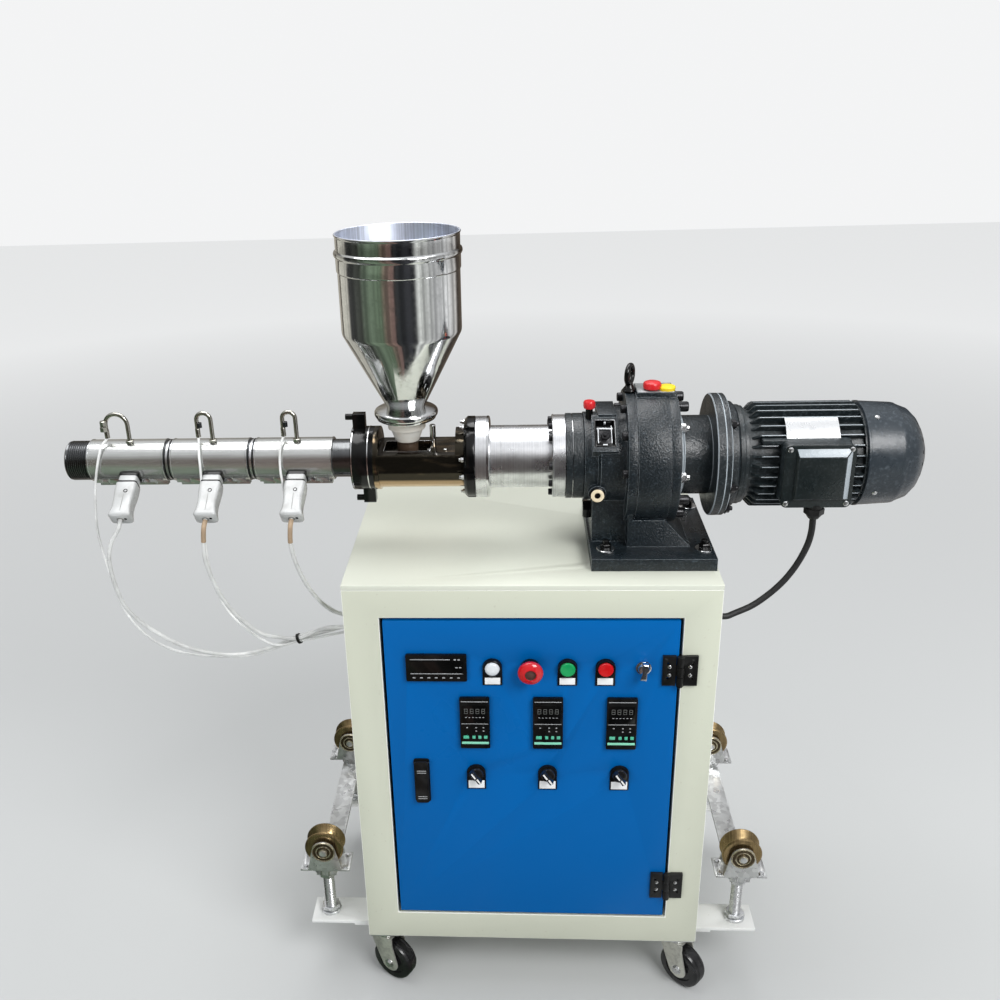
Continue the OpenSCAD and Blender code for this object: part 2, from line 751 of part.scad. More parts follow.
module gearbox_fittings() {
    color("red") {
        rod_z(drum_x + 41, axis_y - 10, pad_z + seat, pad_z + 4, 8);
        rod_z(drum_x + 41, axis_y - 10, pad_z + 3, pad_z + 19, 11.5);
        difference() {
            rod_z(nose_x + 8, axis_y - 15, axis_z + nose_r - 20, axis_z + nose_r + 8, 5);
            rod_x(nose_x - 1, nose_x + 18, nose_r - 8 + seat);
        }
        rod_z(nose_x + 8, axis_y - 15, axis_z + nose_r + 7, axis_z + nose_r + 18, 9.5);
    }
    color("yellow")
        rod_z(drum_x + 65, axis_y - 12, pad_z + seat, pad_z + 12, 11);
    color("black") {
        rod_z(drum_x + 7, axis_y, axis_z + drum_side_r + seat, axis_z + drum_side_r + 15, 7);
        translate([drum_x + 7, axis_y, axis_z + drum_side_r + 28])
            rotate([90, 0, 66])
                rotate_extrude()
                    translate([14, 0])
                        circle(r = 4);
        rod_x(column_x0 - 14, column_x0 - seat, 16, axis_y - 20, axis_z - 84);
    }
    color("ivory")
        rod_y(gauge_x, gauge_z, gauge_y - 8, gauge_y - seat, gauge_r);
}

module motor_flange() {
    color("darkslategray")
        turned([[motor_flange_x, 0], [motor_flange_x, motor_flange_r], [motor_flange_x + 14, motor_flange_r],
            [motor_flange_x + 14, motor_flange_r - 6], [motor_flange_x + 24, motor_flange_r - 6],
            [motor_x, motor_r - 4], [motor_x, 0]]);
}

module motor_body() {
    color("darkslategray")
        turned([[motor_x, 0], [motor_x, motor_r - 4], [motor_x + 12, motor_r - 4], [motor_x + 18, motor_r],
            [cowl_x, motor_r], [cowl_x, 0]]);
}

module fan_cowl() {
    color("darkslategray")
        turned([[cowl_x + seat, 0], [cowl_x + seat, motor_r], [cowl_x + 57, motor_r - 4], [cowl_x + 75, motor_r - 12],
            [cowl_x + 92, motor_r - 34], [cowl_x + 104, motor_r - 58], [machine_x1, 0]]);
}

terminal_x = [377, 481];
terminal_y = axis_y - 110;

module terminal_box() {
    color("darkslategray")
        difference() {
            block(terminal_x, [terminal_y, axis_y - 50], [axis_z - 50, axis_z + 50]);
            rod_x(terminal_x[0] - 1, terminal_x[1] + 1, motor_r + seat);
        }
}

module cable_glands() {
    color("black") {
        rod_z(gland_x, gland_y, gland_z, axis_z - 50 - seat, 10);
        hex_z(gland_x, gland_y, gland_z + 8, gland_z + 18, 26);
        rod_x(half_w, wall_r, 11, MOTOR_ROUTE[9][1], MOTOR_ROUTE[9][2]);
        block([wall_l, -half_w], [86, 124], [666, 720]);
    }
}

// Drive end
module drive_flanges() {
    color("silver") {
        turned([[seal_x, 0], [seal_x, seal_r], [nose_x, seal_r], [nose_x, 0]]);
        turned([[adapter_x, 0], [adapter_x, adapter_r], [seal_x, adapter_r], [seal_x, 0]]);
        turned([[thrust_x, 0], [thrust_x, thrust_r], [spacer_x, thrust_r], [spacer_x, 0]]);
    }
}

module spacer_sleeve() {
    color("silver")
        turned([[spacer_x, 0], [spacer_x, spacer_r], [adapter_x, spacer_r], [adapter_x, 0]]);
}

nut_slots = 6;

module ring_nut() {
    color("black")
        difference() {
            turned([[thrust_x - nut_l, feed_r + seat], [thrust_x - nut_l, thrust_r - 5],
                [thrust_x - nut_l + 5, thrust_r], [thrust_x, thrust_r], [thrust_x, feed_r + seat]]);
            for (k = [0 : nut_slots - 1])
                translate([thrust_x - nut_l - 1, axis_y, axis_z])
                    rotate([360 / nut_slots * k + 30, 0, 0])
                        translate([0, -5, thrust_r - 6])
                            cube([nut_l + 2, 10, 12]);
        }
}

// Feed section with the milled flat and the throat pocket
module feed_section() {
    color("sienna")
        difference() {
            turned([[feed_x, 0], [feed_x, clamp_r], [feed_x + 8, clamp_r], [feed_x + 8, feed_r],
                [thrust_x, feed_r], [thrust_x, 0]]);
            block([feed_x + 8, thrust_x - nut_l - 14], [axis_y - 60, axis_y + 60], [flat_z, flat_z + 60]);
            block([throat_x - pocket_l / 2, throat_x + pocket_l / 2], [axis_y - pocket_w / 2, axis_y + pocket_w / 2],
                [flat_z - 11, flat_z + 60]);
            rod_z(throat_x, axis_y, axis_z, flat_z, passage_r);
            rod_x(feed_x - 1, thrust_x, screw_r + screw_gap);
        }
}

module throat_collar() {
    color("ivory")
        difference() {
            translate([throat_x, axis_y, flat_z - 11])
                rotate_extrude()
                    polygon([[passage_r, 0], [17, 0], [17, 20], [18.5, 20], [26.5, 43], [30, 43],
                        [30, collar_h + 11], [passage_r, collar_h + 11]]);
            rod_x(throat_x - 20, throat_x + 20, screw_r + screw_gap);
        }
}

clamp_lug_up = 24;
clamp_lug_w = 20;

// A cranked lug: its block stands on the ring, its short round arm points to the nose
module clamp_lug(side, x0) {
    z0 = axis_z + side * (clamp_r - 8);
    z1 = axis_z + side * (clamp_r + clamp_lug_up);
    block([x0, x0 + clamp_lug_w], [axis_y - 8, axis_y + 8], [min(z0, z1), max(z0, z1)]);
    rod_x(x0 - 12, x0 + 5, 5, axis_y, z1 - side * 6);
}

module barrel_clamp() {
    color("darkgray") {
        difference() {
            union() {
                rod_x(clamp_x, feed_x, clamp_r);
                clamp_lug(1, clamp_x + 2);
                clamp_lug(-1, clamp_x + 12);
            }
            rod_x(clamp_x - 1, feed_x + 1, barrel_r + seat);
        }
    }
}

module barrel() {
    color("dimgray")
        turned([[nose_end_x, screw_r + screw_gap], [nose_end_x, nose_thread_r],
            [nose_end_x + nose_thread_l, nose_thread_r], [nose_end_x + nose_thread_l, barrel_r],
            [feed_x, barrel_r], [feed_x, screw_r + screw_gap]]);
}

module extruder_screw() {
    color("silver")
        turned([[nose_end_x + 14, 0], [nose_end_x + 22, 8.5], [throat_x + 30, 8.5], [throat_x + 34, screw_r],
            [thrust_x, screw_r], [thrust_x, 0]]);
}

ear_t = 5;
plug_pin_r = 4;

// The frame of a heater plug: its origin on the machine axis, its Z outwards
module plug_frame(k) {
    translate([plug_x(k), axis_y, axis_z])
        rotate([180 - plug_pitch, 0, 0])
            children();
}

module heater_bands() {
    color("lightsteelblue")
        for (k = [0 : 2])
            difference() {
                union() {
                    rod_x(heater_xs[k] - heater_l / 2, heater_xs[k] + heater_l / 2, barrel_r + seat + heater_t);
                    block([heater_xs[k] - heater_l / 2 + 6, heater_xs[k] + heater_l / 2 - 6],
                        [axis_y - ear_t, axis_y + ear_t], [axis_z - barrel_r - heater_t - 8, axis_z - barrel_r]);
                }
                rod_x(heater_xs[k] - heater_l, heater_xs[k] + heater_l, barrel_r + seat);
                block([heater_xs[k] - heater_l, heater_xs[k] + heater_l], [axis_y - 1, axis_y + 1],
                    [axis_z - barrel_r - heater_t - 20, axis_z]);
                rod_z(hook_x(k), hook_y, axis_z, axis_z + 50, hook_r + seat);
                plug_frame(k)
                    cylinder(r = plug_pin_r + seat, h = 60);
            }
}

module heater_plug(k) {
    plug_frame(k) {
        translate([0, 0, barrel_r + seat])
            cylinder(r = plug_pin_r, h = plug_from + 6 - barrel_r);
        translate([-plug_w / 2 + 2, -plug_d / 2 + 1, plug_from + 5])
            cube([plug_w - 4, plug_d - 2, plug_base_l]);
        translate([0, plug_d / 2, plug_from + 4 + plug_base_l])
            rotate([90, 0, 0])
                linear_extrude(plug_d)
                    polygon([[-plug_w / 2, 0], [plug_w / 2, 0], [plug_w / 2 - 1, 30], [plug_w / 2 + 2, plug_l - plug_base_l - 4],
                        [-plug_w / 2 - 2, plug_l - plug_base_l - 4], [-plug_w / 2 + 1, 30]]);
    }
}

module heater_plugs() {
    color("lightgray")
        for (k = [0 : 2])
            heater_plug(k);
}

module thermocouple(k) {
    bend = hook_bends[k];
    leg_z = axis_z + hook_top - bend;
    foot_z = axis_z + sqrt(pow(barrel_r, 2) - pow(axis_y - hook_y - hook_r, 2)) + seat;
    rod_z(hook_x(k), hook_y, foot_z, leg_z, hook_r);
    translate([hook_x(k) - bend, hook_y, leg_z])
        rotate([90, 0, 0])
            rotate_extrude(angle = 180)
                translate([bend, 0])
                    circle(r = hook_r, $fn = 24);
    rod_z(hook_x(k) - 2 * bend, hook_y, axis_z + hook_end, leg_z, hook_r + 0.5);
}

module thermocouples() {
    color("silver")
        for (k = [0 : 2])
            thermocouple(k);
}

// Hopper: one shell, from the rolled rim below the cone up to the mouth
module hopper() {
    color("silver")
        translate([throat_x, axis_y, 0])
            rotate_extrude()
                polygon([[passage_r + 1, collar_z1], [tray_r - 5, collar_z1], [tray_r, collar_z1 + 6],
                    [tray_r, collar_z1 + 14], [tray_r - 5, cone_z0 - 3], [cone_end_r, cone_z0],
                    [hopper_r, hopper_z0], [hopper_r, hopper_z1 - 55], [hopper_r + 2.5, hopper_z1 - 50],
                    [hopper_r + 2.5, hopper_z1 - 28], [hopper_r, hopper_z1 - 24], [hopper_r + 1.5, hopper_z1],
                    [hopper_r - hopper_t, hopper_z1], [hopper_r - hopper_t, hopper_z0 + 1],
                    [cone_end_r - 6, cone_z0 + 1], [passage_r + 1, cone_z0 - 6]]);
}

// Cables
module heater_cables() {
    color("white") {
        cable(HEATER_1, heater_cable_r, 8);
        cable(HEATER_2, heater_cable_r, 8);
        cable(HEATER_3, heater_cable_r, 8);
    }
}

module thermocouple_leads() {
    color("white") {
        cable(LEAD_1, lead_r, 8);
        cable(LEAD_2, lead_r, 8);
        cable(LEAD_3, lead_r, 8);
    }
}

module motor_cable() {
    color("black")
        cable(MOTOR_ROUTE, motor_cable_r, 10);
}

module cable_tie() {
    color("black")
        translate(TIE)
            rotate([0, 68, 0])
                difference() {
                    cylinder(r = tie_r, h = 5, center = true);
                    cylinder(r = tie_r - tie_t, h = 7, center = true);
                }
}

// Door
module door_panel() {
    color("royalblue")
        difference() {
            block([door_x0, door_x1], [0, door_depth], [door_z0, door_z1]);
            block([door_x0 + door_t, door_x1 - door_t], [door_t, door_depth + 1], [door_z0 + door_t, door_z1 - door_t]);
            for (x = bushing_xs())
                rod_y(x, button_z, -1, door_t + 1, bushing_r);
            for (x = controller_xs())
                rod_y(x, selector_z, -1, door_t + 1, bushing_r);
            for (x = controller_xs())
                block([x - meter_short / 2 + 2, x + meter_short / 2 - 2], [-1, door_t + 1],
                    [controller_z - meter_long / 2 + 2, controller_z + meter_long / 2 - 2]);
            block([meter_x - meter_long / 2 + 2, meter_x + meter_long / 2 - 2], [-1, door_t + 1],
                [button_z - meter_short / 2 + 2, button_z + meter_short / 2 - 2]);
        }
}

// Places of the controls across the door
controller_mid = 28;
function controller_xs() = [for (k = [-1 : 1]) controller_mid + k * control_pitch];
meter_x = -147.5;
lamp_x = -59.5;
stop_x = 0;
green_x = 58;
red_x = 117;
key_x = 175.5;
latch_x = door_x0 + latch_inset;
latch_z = opening_z0 + latch_up;
bushing_r = 11;
bushing_l = 22;
function bushing_xs() = [lamp_x, stop_x, green_x, red_x, key_x];
label_t = 2;

module door_hardware() {
    color("black") {
        for (z = hinge_zs)
            moving_leaf(z);
        translate([latch_x, 0, latch_z])
            upright(-2.5, 0)
                rounded_rect(latch_w, latch_h, 4);
    }
}

// The latch's flap turns on a pin at its upper end
flap_pin_z = latch_z + latch_h / 2 - 4.5;
flap_pin_y = -6.2;
flap_pin_r = 1.2;

module door_handle() {
    color("black") {
        difference() {
            translate([latch_x, 0, latch_z])
                upright(-8.5, -2.5 - run_gap)
                    rounded_rect(latch_w - 4, latch_h - 4, 4);
            block([latch_x - latch_w, latch_x + latch_w], [flap_pin_y + 1, 0], [flap_pin_z - 1.5, flap_pin_z + 10]);
        }
        rod_x(latch_x - latch_w / 2, latch_x + latch_w / 2, flap_pin_r, flap_pin_y, flap_pin_z);
    }
}

module instrument(x, z, w, h) {
    translate([x, 0, z])
        upright(-meter_bezel, 0)
            rounded_rect(w, h, 2.5);
    block([x - w / 2 + 2.5, x + w / 2 - 2.5], [0, door_t + meter_depth], [z - h / 2 + 2.5, z + h / 2 - 2.5]);
}

module digital_meter() {
    color("black")
        instrument(meter_x, button_z, meter_long, meter_short);
}

module temperature_controllers() {
    color("black")
        for (x = controller_xs())
            instrument(x, controller_z, meter_short, meter_long);
}

// A plate with a round head, below which the label sits
module label_plate(x, z) {
    upright(-label_t, 0) {
        translate([x, z])
            circle(r = bezel_r + 0.5);
        translate([x - bezel_r - 0.5, z - bezel_r - 18])
            square([2 * bezel_r + 1, bezel_r + 18]);
    }
}

module bushing(x, z, hole_r) {
    difference() {
        rod_y(x, z, -label_t, bushing_l, bushing_r - 0.2);
        rod_y(x, z, -label_t - 1, bushing_l + 1, hole_r);
    }
}

module indicator_lamp() {
    color("white") {
        rod_y(lamp_x, button_z, -label_t - 7, -label_t, 14);
        rod_y(lamp_x, button_z, -label_t, bushing_l, bushing_r - 0.2);
    }
}

stem_r = 8;
module button_bezel(x) {
    difference() {
        union() {
            label_plate(x, button_z);
            rod_y(x, button_z, -8, 0, bezel_r);
            rod_y(x, button_z, 0, bushing_l, bushing_r - 0.2);
        }
        rod_y(x, button_z, -9, -1, button_r + run_gap);
        rod_y(x, button_z, -9, bushing_l + 1, stem_r + run_gap);
    }
}

module control_bezels() {
    color("black") {
        for (x = [green_x, red_x])
            button_bezel(x);
        difference() {
            label_plate(lamp_x, button_z);
            rod_y(lamp_x, button_z, -5, 1, bushing_r);
        }
        difference() {
            union() {
                rod_y(stop_x, button_z, -8, 0, bezel_r);
                rod_y(stop_x, button_z, 0, bushing_l, bushing_r - 0.2);
            }
            rod_y(stop_x, button_z, -9, bushing_l + 1, stem_r + run_gap);
        }
        for (x = controller_xs())
            difference() {
                union() {
                    label_plate(x, selector_z);
                    rod_y(x, selector_z, -5, 0, bezel_r);
                    rod_y(x, selector_z, 0, bushing_l, bushing_r - 0.2);
                }
                rod_y(x, selector_z, -6, bushing_l + 1, stem_r + run_gap);
            }
        difference() {
            union() {
                rod_y(key_x, button_z, -3, 0, 12);
                rod_y(key_x, button_z, 0, bushing_l, bushing_r - 0.2);
            }
            rod_y(key_x, button_z, -4, bushing_l + 1, 5 + run_gap);
        }
    }
}

module push_button(x) {
    rod_y(x, button_z, -11, -1 - button_travel - 0.5, button_r);
    rod_y(x, button_z, -11, bushing_l - button_travel - 2, stem_r);
}

module green_button() {
    color("green")
        push_button(green_x);
}

module red_button() {
    color("red")
        push_button(red_x);
}

module emergency_stop() {
    color("crimson")
        translate([stop_x, bushing_l - stop_travel - 2, button_z])
            rotate([90, 0, 0])
                rotate_extrude()
                    polygon([[0, 0], [stem_r, 0], [stem_r, 29], [13, 31], [stop_r - 2, 31], [stop_r, 34],
                        [stop_r, 36], [stop_r - 3, 41], [11, bushing_l - stop_travel - 2 - stop_front_y],
                        [0, bushing_l - stop_travel - 2 - stop_front_y]]);
}

knob_lean = -42;
module selector_knob(k) {
    color("black") {
        rod_y(controller_xs()[k], selector_z, -10, -5 - run_gap, knob_r);
        rod_y(controller_xs()[k], selector_z, -10, bushing_l - 4, stem_r);
        translate([controller_xs()[k], 0, selector_z])
            rotate([0, knob_lean, 0])
                block([-4, 4], [-20, -10], [-knob_r - 2, knob_r - 1]);
    }
}

module key_knob() {
    color("silver") {
        rod_y(key_x, button_z, -8, bushing_l - 2, 5);
        rod_y(key_x, button_z, -8, -3 - run_gap, 9);
        translate([key_x, 0, button_z])
            upright(-20, -8)
                rounded_rect(11, 30, 5);
    }
}

module placed() {
    translate([-mid_x, -mid_y, 0])
        children();
}

placed() cabinet_top();
placed() cabinet_walls();
placed() cabinet_floor();
placed() front_surround();
placed() frame_hinge_leaves();
placed() caster_plates();
placed() outrigger_plates();
placed() jack_screws();
placed() roller_beams();
placed() gearbox_housing();
placed() gearbox_input_cover();
placed() gearbox_fittings();
placed() motor_flange();
placed() motor_body();
placed() fan_cowl();
placed() terminal_box();
placed() cable_glands();
placed() drive_flanges();
placed() spacer_sleeve();
placed() ring_nut();
placed() feed_section();
placed() throat_collar();
placed() barrel_clamp();
placed() barrel();
placed() extruder_screw();
placed() heater_bands();
placed() heater_plugs();
placed() thermocouples();
placed() hopper();
placed() heater_cables();
placed() thermocouple_leads();
placed() motor_cable();
placed() cable_tie();
placed() door_panel();
placed() door_hardware();
placed() digital_meter();
placed() temperature_controllers();
placed() indicator_lamp();
placed() control_bezels();
placed() door_handle();
placed() green_button();
placed() red_button();
placed() emergency_stop();
placed() selector_knob(0);  // selector_knob_1
placed() selector_knob(1);  // selector_knob_2
placed() selector_knob(2);  // selector_knob_3
placed() key_knob();
placed() caster_fork(0);  // caster_fork_1
placed() caster_fork(1);  // caster_fork_2
placed() caster_fork(2);  // caster_fork_3
placed() caster_fork(3);  // caster_fork_4
placed() caster_wheel(0);  // caster_wheel_1
placed() caster_wheel(1);  // caster_wheel_2
placed() caster_wheel(2);  // caster_wheel_3
placed() caster_wheel(3);  // caster_wheel_4
placed() roller(0);  // roller_1
placed() roller(1);  // roller_2
placed() roller(2);  // roller_3
placed() roller(3);  // roller_4
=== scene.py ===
import math

import bmesh
import bpy
from mathutils import Matrix, Vector


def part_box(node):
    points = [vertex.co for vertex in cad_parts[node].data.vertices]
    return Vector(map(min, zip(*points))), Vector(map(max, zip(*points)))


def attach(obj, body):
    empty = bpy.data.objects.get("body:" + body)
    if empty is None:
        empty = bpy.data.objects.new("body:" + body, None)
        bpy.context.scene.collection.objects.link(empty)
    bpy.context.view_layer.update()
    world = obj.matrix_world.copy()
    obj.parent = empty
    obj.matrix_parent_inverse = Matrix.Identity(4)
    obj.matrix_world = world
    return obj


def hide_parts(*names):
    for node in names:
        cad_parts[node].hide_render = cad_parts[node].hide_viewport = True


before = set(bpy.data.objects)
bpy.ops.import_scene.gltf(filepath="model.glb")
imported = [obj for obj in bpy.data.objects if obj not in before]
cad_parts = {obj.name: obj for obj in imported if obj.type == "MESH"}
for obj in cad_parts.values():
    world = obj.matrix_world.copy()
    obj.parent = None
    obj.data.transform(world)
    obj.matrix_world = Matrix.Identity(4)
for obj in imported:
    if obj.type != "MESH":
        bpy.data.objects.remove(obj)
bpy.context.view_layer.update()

# The machine's own frame: the middle of the cabinet's front edge, on the ground.
# Every place and size below is in millimetres; mm() turns them to the scene's metres.
plate_low, plate_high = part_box("cabinet_top")
front_mark = Vector(((plate_low.x + plate_high.x) / 2, plate_low.y, 0))
forward, up, down = Vector((0, -1, 0)), Vector((0, 0, 1)), Vector((0, 0, -1))
left, right = Vector((-1, 0, 0)), Vector((1, 0, 0))


def mm(x, y, z):
    return Vector((x / 1000, y / 1000, z / 1000))


def place(x, y, z):
    return front_mark + mm(x, y, z)


# Camera at the height of a standing person, a little left of the cabinet's middle,
# tipped down and turned a few degrees to the left.
camera_data = bpy.data.cameras.new("camera")
camera_data.lens = 36.95
camera_data.sensor_width = 36
camera_data.shift_x = 0.0498
camera_data.shift_y = 0.0117
camera = bpy.data.objects.new("camera", camera_data)
bpy.context.scene.collection.objects.link(camera)
camera_tip, camera_turn, camera_roll = 0.407, 0.072, -0.035
camera.matrix_world = (
    Matrix.Translation(place(-17.4, -1383.5, 1538.6))
    @ Matrix.Rotation(camera_turn, 4, "Z")
    @ Matrix.Rotation(math.pi / 2 - camera_tip, 4, "X")
    @ Matrix.Rotation(camera_roll, 4, "Z")
)
bpy.context.scene.camera = camera

# Cables: three pale heater cables and three thinner thermocouple leads fall in loose loops
# to a grommet in the cabinet's left side, and a black motor cable goes in at the right.


def add(tree, kind, links=None, **settings):
    """A node of that kind. Links maps its input sockets to output sockets or to plain values."""
    node = tree.nodes.new(kind)
    for key, value in settings.items():
        setattr(node, key, value)
    for socket, source in (links or {}).items():
        if isinstance(source, bpy.types.NodeSocket):
            tree.links.new(source, node.inputs[socket])
        else:
            node.inputs[socket].default_value = source
    return node


def wire(kind, out, links, **settings):
    """A shader node in the tree of the first socket that feeds it, given as one of its outputs."""
    tree = next(s.id_data for s in links.values() if isinstance(s, bpy.types.NodeSocket))
    return add(tree, "ShaderNode" + kind, links, **settings).outputs[out]


def noise(where, scale, detail, roughness=0.5, distortion=0.0):
    return wire("TexNoise", "Fac", {"Vector": where, "Scale": scale, "Detail": detail,
                                    "Roughness": roughness, "Distortion": distortion})


def line_noise(along, scale, detail, roughness=0.5):
    return wire("TexNoise", "Fac", {"W": along, "Scale": scale, "Detail": detail, "Roughness": roughness},
                noise_dimensions="1D")


def fade(value, start, end, low=0.0, high=1.0):
    return wire("MapRange", "Result", {"Value": value, "From Min": start, "From Max": end,
                                       "To Min": low, "To Max": high})


def maths(operation, first, second, **settings):
    return wire("Math", "Value", {0: first, 1: second}, operation=operation, **settings)


def blend(amount, first, second):
    return wire("MixRGB", "Color", {"Fac": amount, "Color1": first, "Color2": second})


def gain(colour, factor):
    return wire("VectorMath", "Vector", {0: colour, "Scale": factor}, operation="SCALE")


def axis_of(where, letter):
    return wire("SeparateXYZ", letter, {"Vector": where})


def compass(where):
    """The angle of a direction round the machine, in radians."""
    split = add(where.id_data, "ShaderNodeSeparateXYZ", {"Vector": where}).outputs
    return maths("ARCTAN2", split["X"], split["Y"])


def bump(height, strength, distance):
    return wire("Bump", "Normal", {"Height": height, "Strength": strength, "Distance": distance})


def effect(name, **inputs):
    """An empty shader node group with float or colour inputs, and the sockets of those inputs."""
    group = bpy.data.node_groups.new(name, "ShaderNodeTree")
    for socket, value in inputs.items():
        kind, value = ("Color", (*value, 1)) if isinstance(value, tuple) else ("Float", value)
        item = group.interface.new_socket(socket, in_out="INPUT", socket_type="NodeSocket" + kind)
        item.default_value = value
    return group, *group.nodes.new("NodeGroupInput").outputs[:len(inputs)]


def object_place(group):
    return add(group, "ShaderNodeTexCoord").outputs["Object"]


def give(group, **results):
    """The group's results, named after the shader's sockets that they feed."""
    kinds = {"Roughness": "Float", "Normal": "Vector"}
    names = [name.replace("_", " ").title() for name in results]
    for name in names:
        group.interface.new_socket(name, in_out="OUTPUT", socket_type="NodeSocket" + kinds.get(name, "Color"))
    exits = group.nodes.new("NodeGroupOutput")
    for name, source in zip(names, results.values()):
        group.links.new(source, exits.inputs[name])


def coat(name, group, *values, **sockets):
    """A material fed by a node group, its values in the order of the group's inputs and a lone
    number for a grey. The sockets are constants of the shader itself."""
    material = bpy.data.materials.new(name)
    material.use_nodes = True
    shader = material.node_tree.nodes["Principled BSDF"]
    for socket, value in sockets.items():
        shader.inputs[socket.replace("_", " ").title().replace("Ior", "IOR")].default_value = value
    if group:
        node = add(material.node_tree, "ShaderNodeGroup", node_tree=group)
        for socket, value in zip(node.inputs, values):
            if socket.type == "RGBA":
                value = (*value, 1) if isinstance(value, tuple) else (value, value, value, 1)
            socket.default_value = value
        for output in node.outputs:
            material.node_tree.links.new(output, shader.inputs[output.name])
    return material


def smooth_route(points, steps=6):
    """A round line through the points, with steps spans between each two of them."""
    ends = [points[0] * 2 - points[1], *points, points[-1] * 2 - points[-2]]
    line = []
    for a, b, c, d in zip(ends, ends[1:], ends[2:], ends[3:]):
        for k in range(steps):
            t = k / steps
            line.append(0.5 * (2 * b + (c - a) * t + (2 * a - 5 * b + 4 * c - d) * t**2
                               + (3 * b - a - 3 * c + d) * t**3))
    return line + [points[-1]]


def cord_piece(name, line, diameter, material, node=None):
    """A cord along the line, its diameter in millimetres; it stands for the node if one is named."""
    curve = bpy.data.curves.new(name, "CURVE")
    curve.dimensions = "3D"
    curve.bevel_depth = diameter / 2000
    curve.bevel_resolution = 5
    curve.use_fill_caps = True
    spline = curve.splines.new("POLY")
    spline.points.add(len(line) - 1)
    for point, where in zip(spline.points, line):
        point.co = (*where, 1)
    spline.use_smooth = True
    curve.materials.append(material)
    piece = bpy.data.objects.new(name, curve)
    bpy.context.scene.collection.objects.link(piece)
    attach(piece, "machine")
    if node:
        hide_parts(node)


# The braid: fine slanting strands with a little lost gloss between them
braid, colour, strand = effect("braided sheath", Colour=(0.7, 0.7, 0.7), Strand=900.0)
where = object_place(braid)
weave = wire("TexWave", "Fac", {"Vector": where, "Scale": strand, "Distortion": 1.5}, bands_direction="DIAGONAL")
give(braid, base_color=gain(colour, fade(noise(where, 30, 4), 0.35, 0.7, 0.72, 1.05)),
     normal=bump(weave, 0.25, 0.0003))

heater_sheath = coat("heater cable sheath", braid, (0.66, 0.67, 0.66), 500, roughness=0.45, specular_ior_level=0.4)
lead_sheath = coat("lead sheath", braid, (0.80, 0.81, 0.80), 900, roughness=0.4)
motor_sheath = coat("motor cable sheath", braid, (0.014, 0.014, 0.015), 300, roughness=0.5)
sleeve_fibre = coat("tan sleeve", braid, (0.40, 0.29, 0.19), 700, roughness=0.7)

axis_y, axis_z = 170, 964
axis_at = place(0, axis_y, axis_z)
wall_left = -296
plug_pitch = math.radians(56)
plug_x = (-647.5, -510, -372.5)
plug_reach = 116.8
heater_routes = [
    [(-662, 55, 865), (-670, 57, 836), (-672, 63, 800), (-667, 75, 745), (-648, 90, 702), (-604, 105, 656),
     (-555, 113, 632), (-498, 119, 624), (-440, 121, 638), (-391, 121, 659), (-345, 112, 678),
     (wall_left - 15, 105, 686), (wall_left, 105, 686)],
    [(-513, 57, 862), (-514, 58, 832), (-509, 66, 794), (-500, 80, 750), (-482, 98, 705), (-454, 111, 670),
     (-425, 114, 661), (-391, 114, 659), (-345, 103, 684), (wall_left - 15, 95, 692), (wall_left, 95, 692)],
    [(-374, 57, 860), (-370, 61, 828), (-360, 69, 790), (-345, 82, 752), (-328, 96, 724),
     (wall_left - 12, 105, 710), (wall_left, 105, 710)],
]
heater_lines = []
for x, route in zip(plug_x, heater_routes):
    start = [axis_at + mm(x, -out * math.sin(plug_pitch), -out * math.cos(plug_pitch))
             for out in (plug_reach, plug_reach + 18)]
    heater_lines.append(smooth_route(start + [place(*p) for p in route]))
for k, line in enumerate(heater_lines, 1):
    cord_piece(f"heater_cable_{k}", line, 6.5, heater_sheath, "heater_cables")
# Cables two and three wear a tan glass-fibre sleeve where they leave the hot plugs
for k, line in enumerate(heater_lines[1:], 2):
    cord_piece(f"cable_sleeve_{k}", line[1:12], 7.8, sleeve_fibre)

hook_y = 160
lead_routes = [
    [(-682.5, hook_y, 1006), (-689, 147, 997), (-692, 135, 982), (-697, 129, 960), (-704, 127, 928), (-711, 127, 880),
     (-712, 127, 836), (-704, 127, 771), (-690, 127, 705), (-655, 127, 652), (-594, 127, 621), (-500, 127, 615),
     (-440, 124, 632), (-391, 120, 653), (wall_left - 15, 115, 680), (wall_left, 115, 680)],
    [(-532, hook_y, 1006), (-529, 147, 997), (-527, 135, 982), (-526, 129, 958), (-527, 127, 930), (-531, 127, 873),
     (-534, 127, 800), (-522, 127, 730), (-495, 125, 684), (-455, 118, 654), (-425, 112, 647), (-391, 115, 653),
     (wall_left - 15, 105, 676), (wall_left, 105, 676)],
    [(-392.5, hook_y, 1006), (-395, 147, 997), (-396, 135, 982), (-396, 129, 957), (-394, 127, 934), (-392, 127, 872),
     (-388, 125, 820), (-376, 121, 772), (-352, 116, 734), (wall_left - 15, 114, 704), (wall_left, 114, 704)],
]
for k, route in enumerate(lead_routes, 1):
    line = smooth_route([place(*p) for p in route])
    cord_piece(f"thermocouple_lead_{k}", line, 4, lead_sheath, "thermocouple_leads")

motor_route = [(431, 78, 892), (431, 78, 870), (427, 78, 846), (415, 77, 816), (398, 75, 789), (376, 72, 766),
               (350, 68, 747), (322, 64, 735), (310, 62, 731), (296, 62, 731)]
cord_piece("motor_supply_cable", smooth_route([place(*p) for p in motor_route]), 10, motor_sheath,
           "motor_cable")

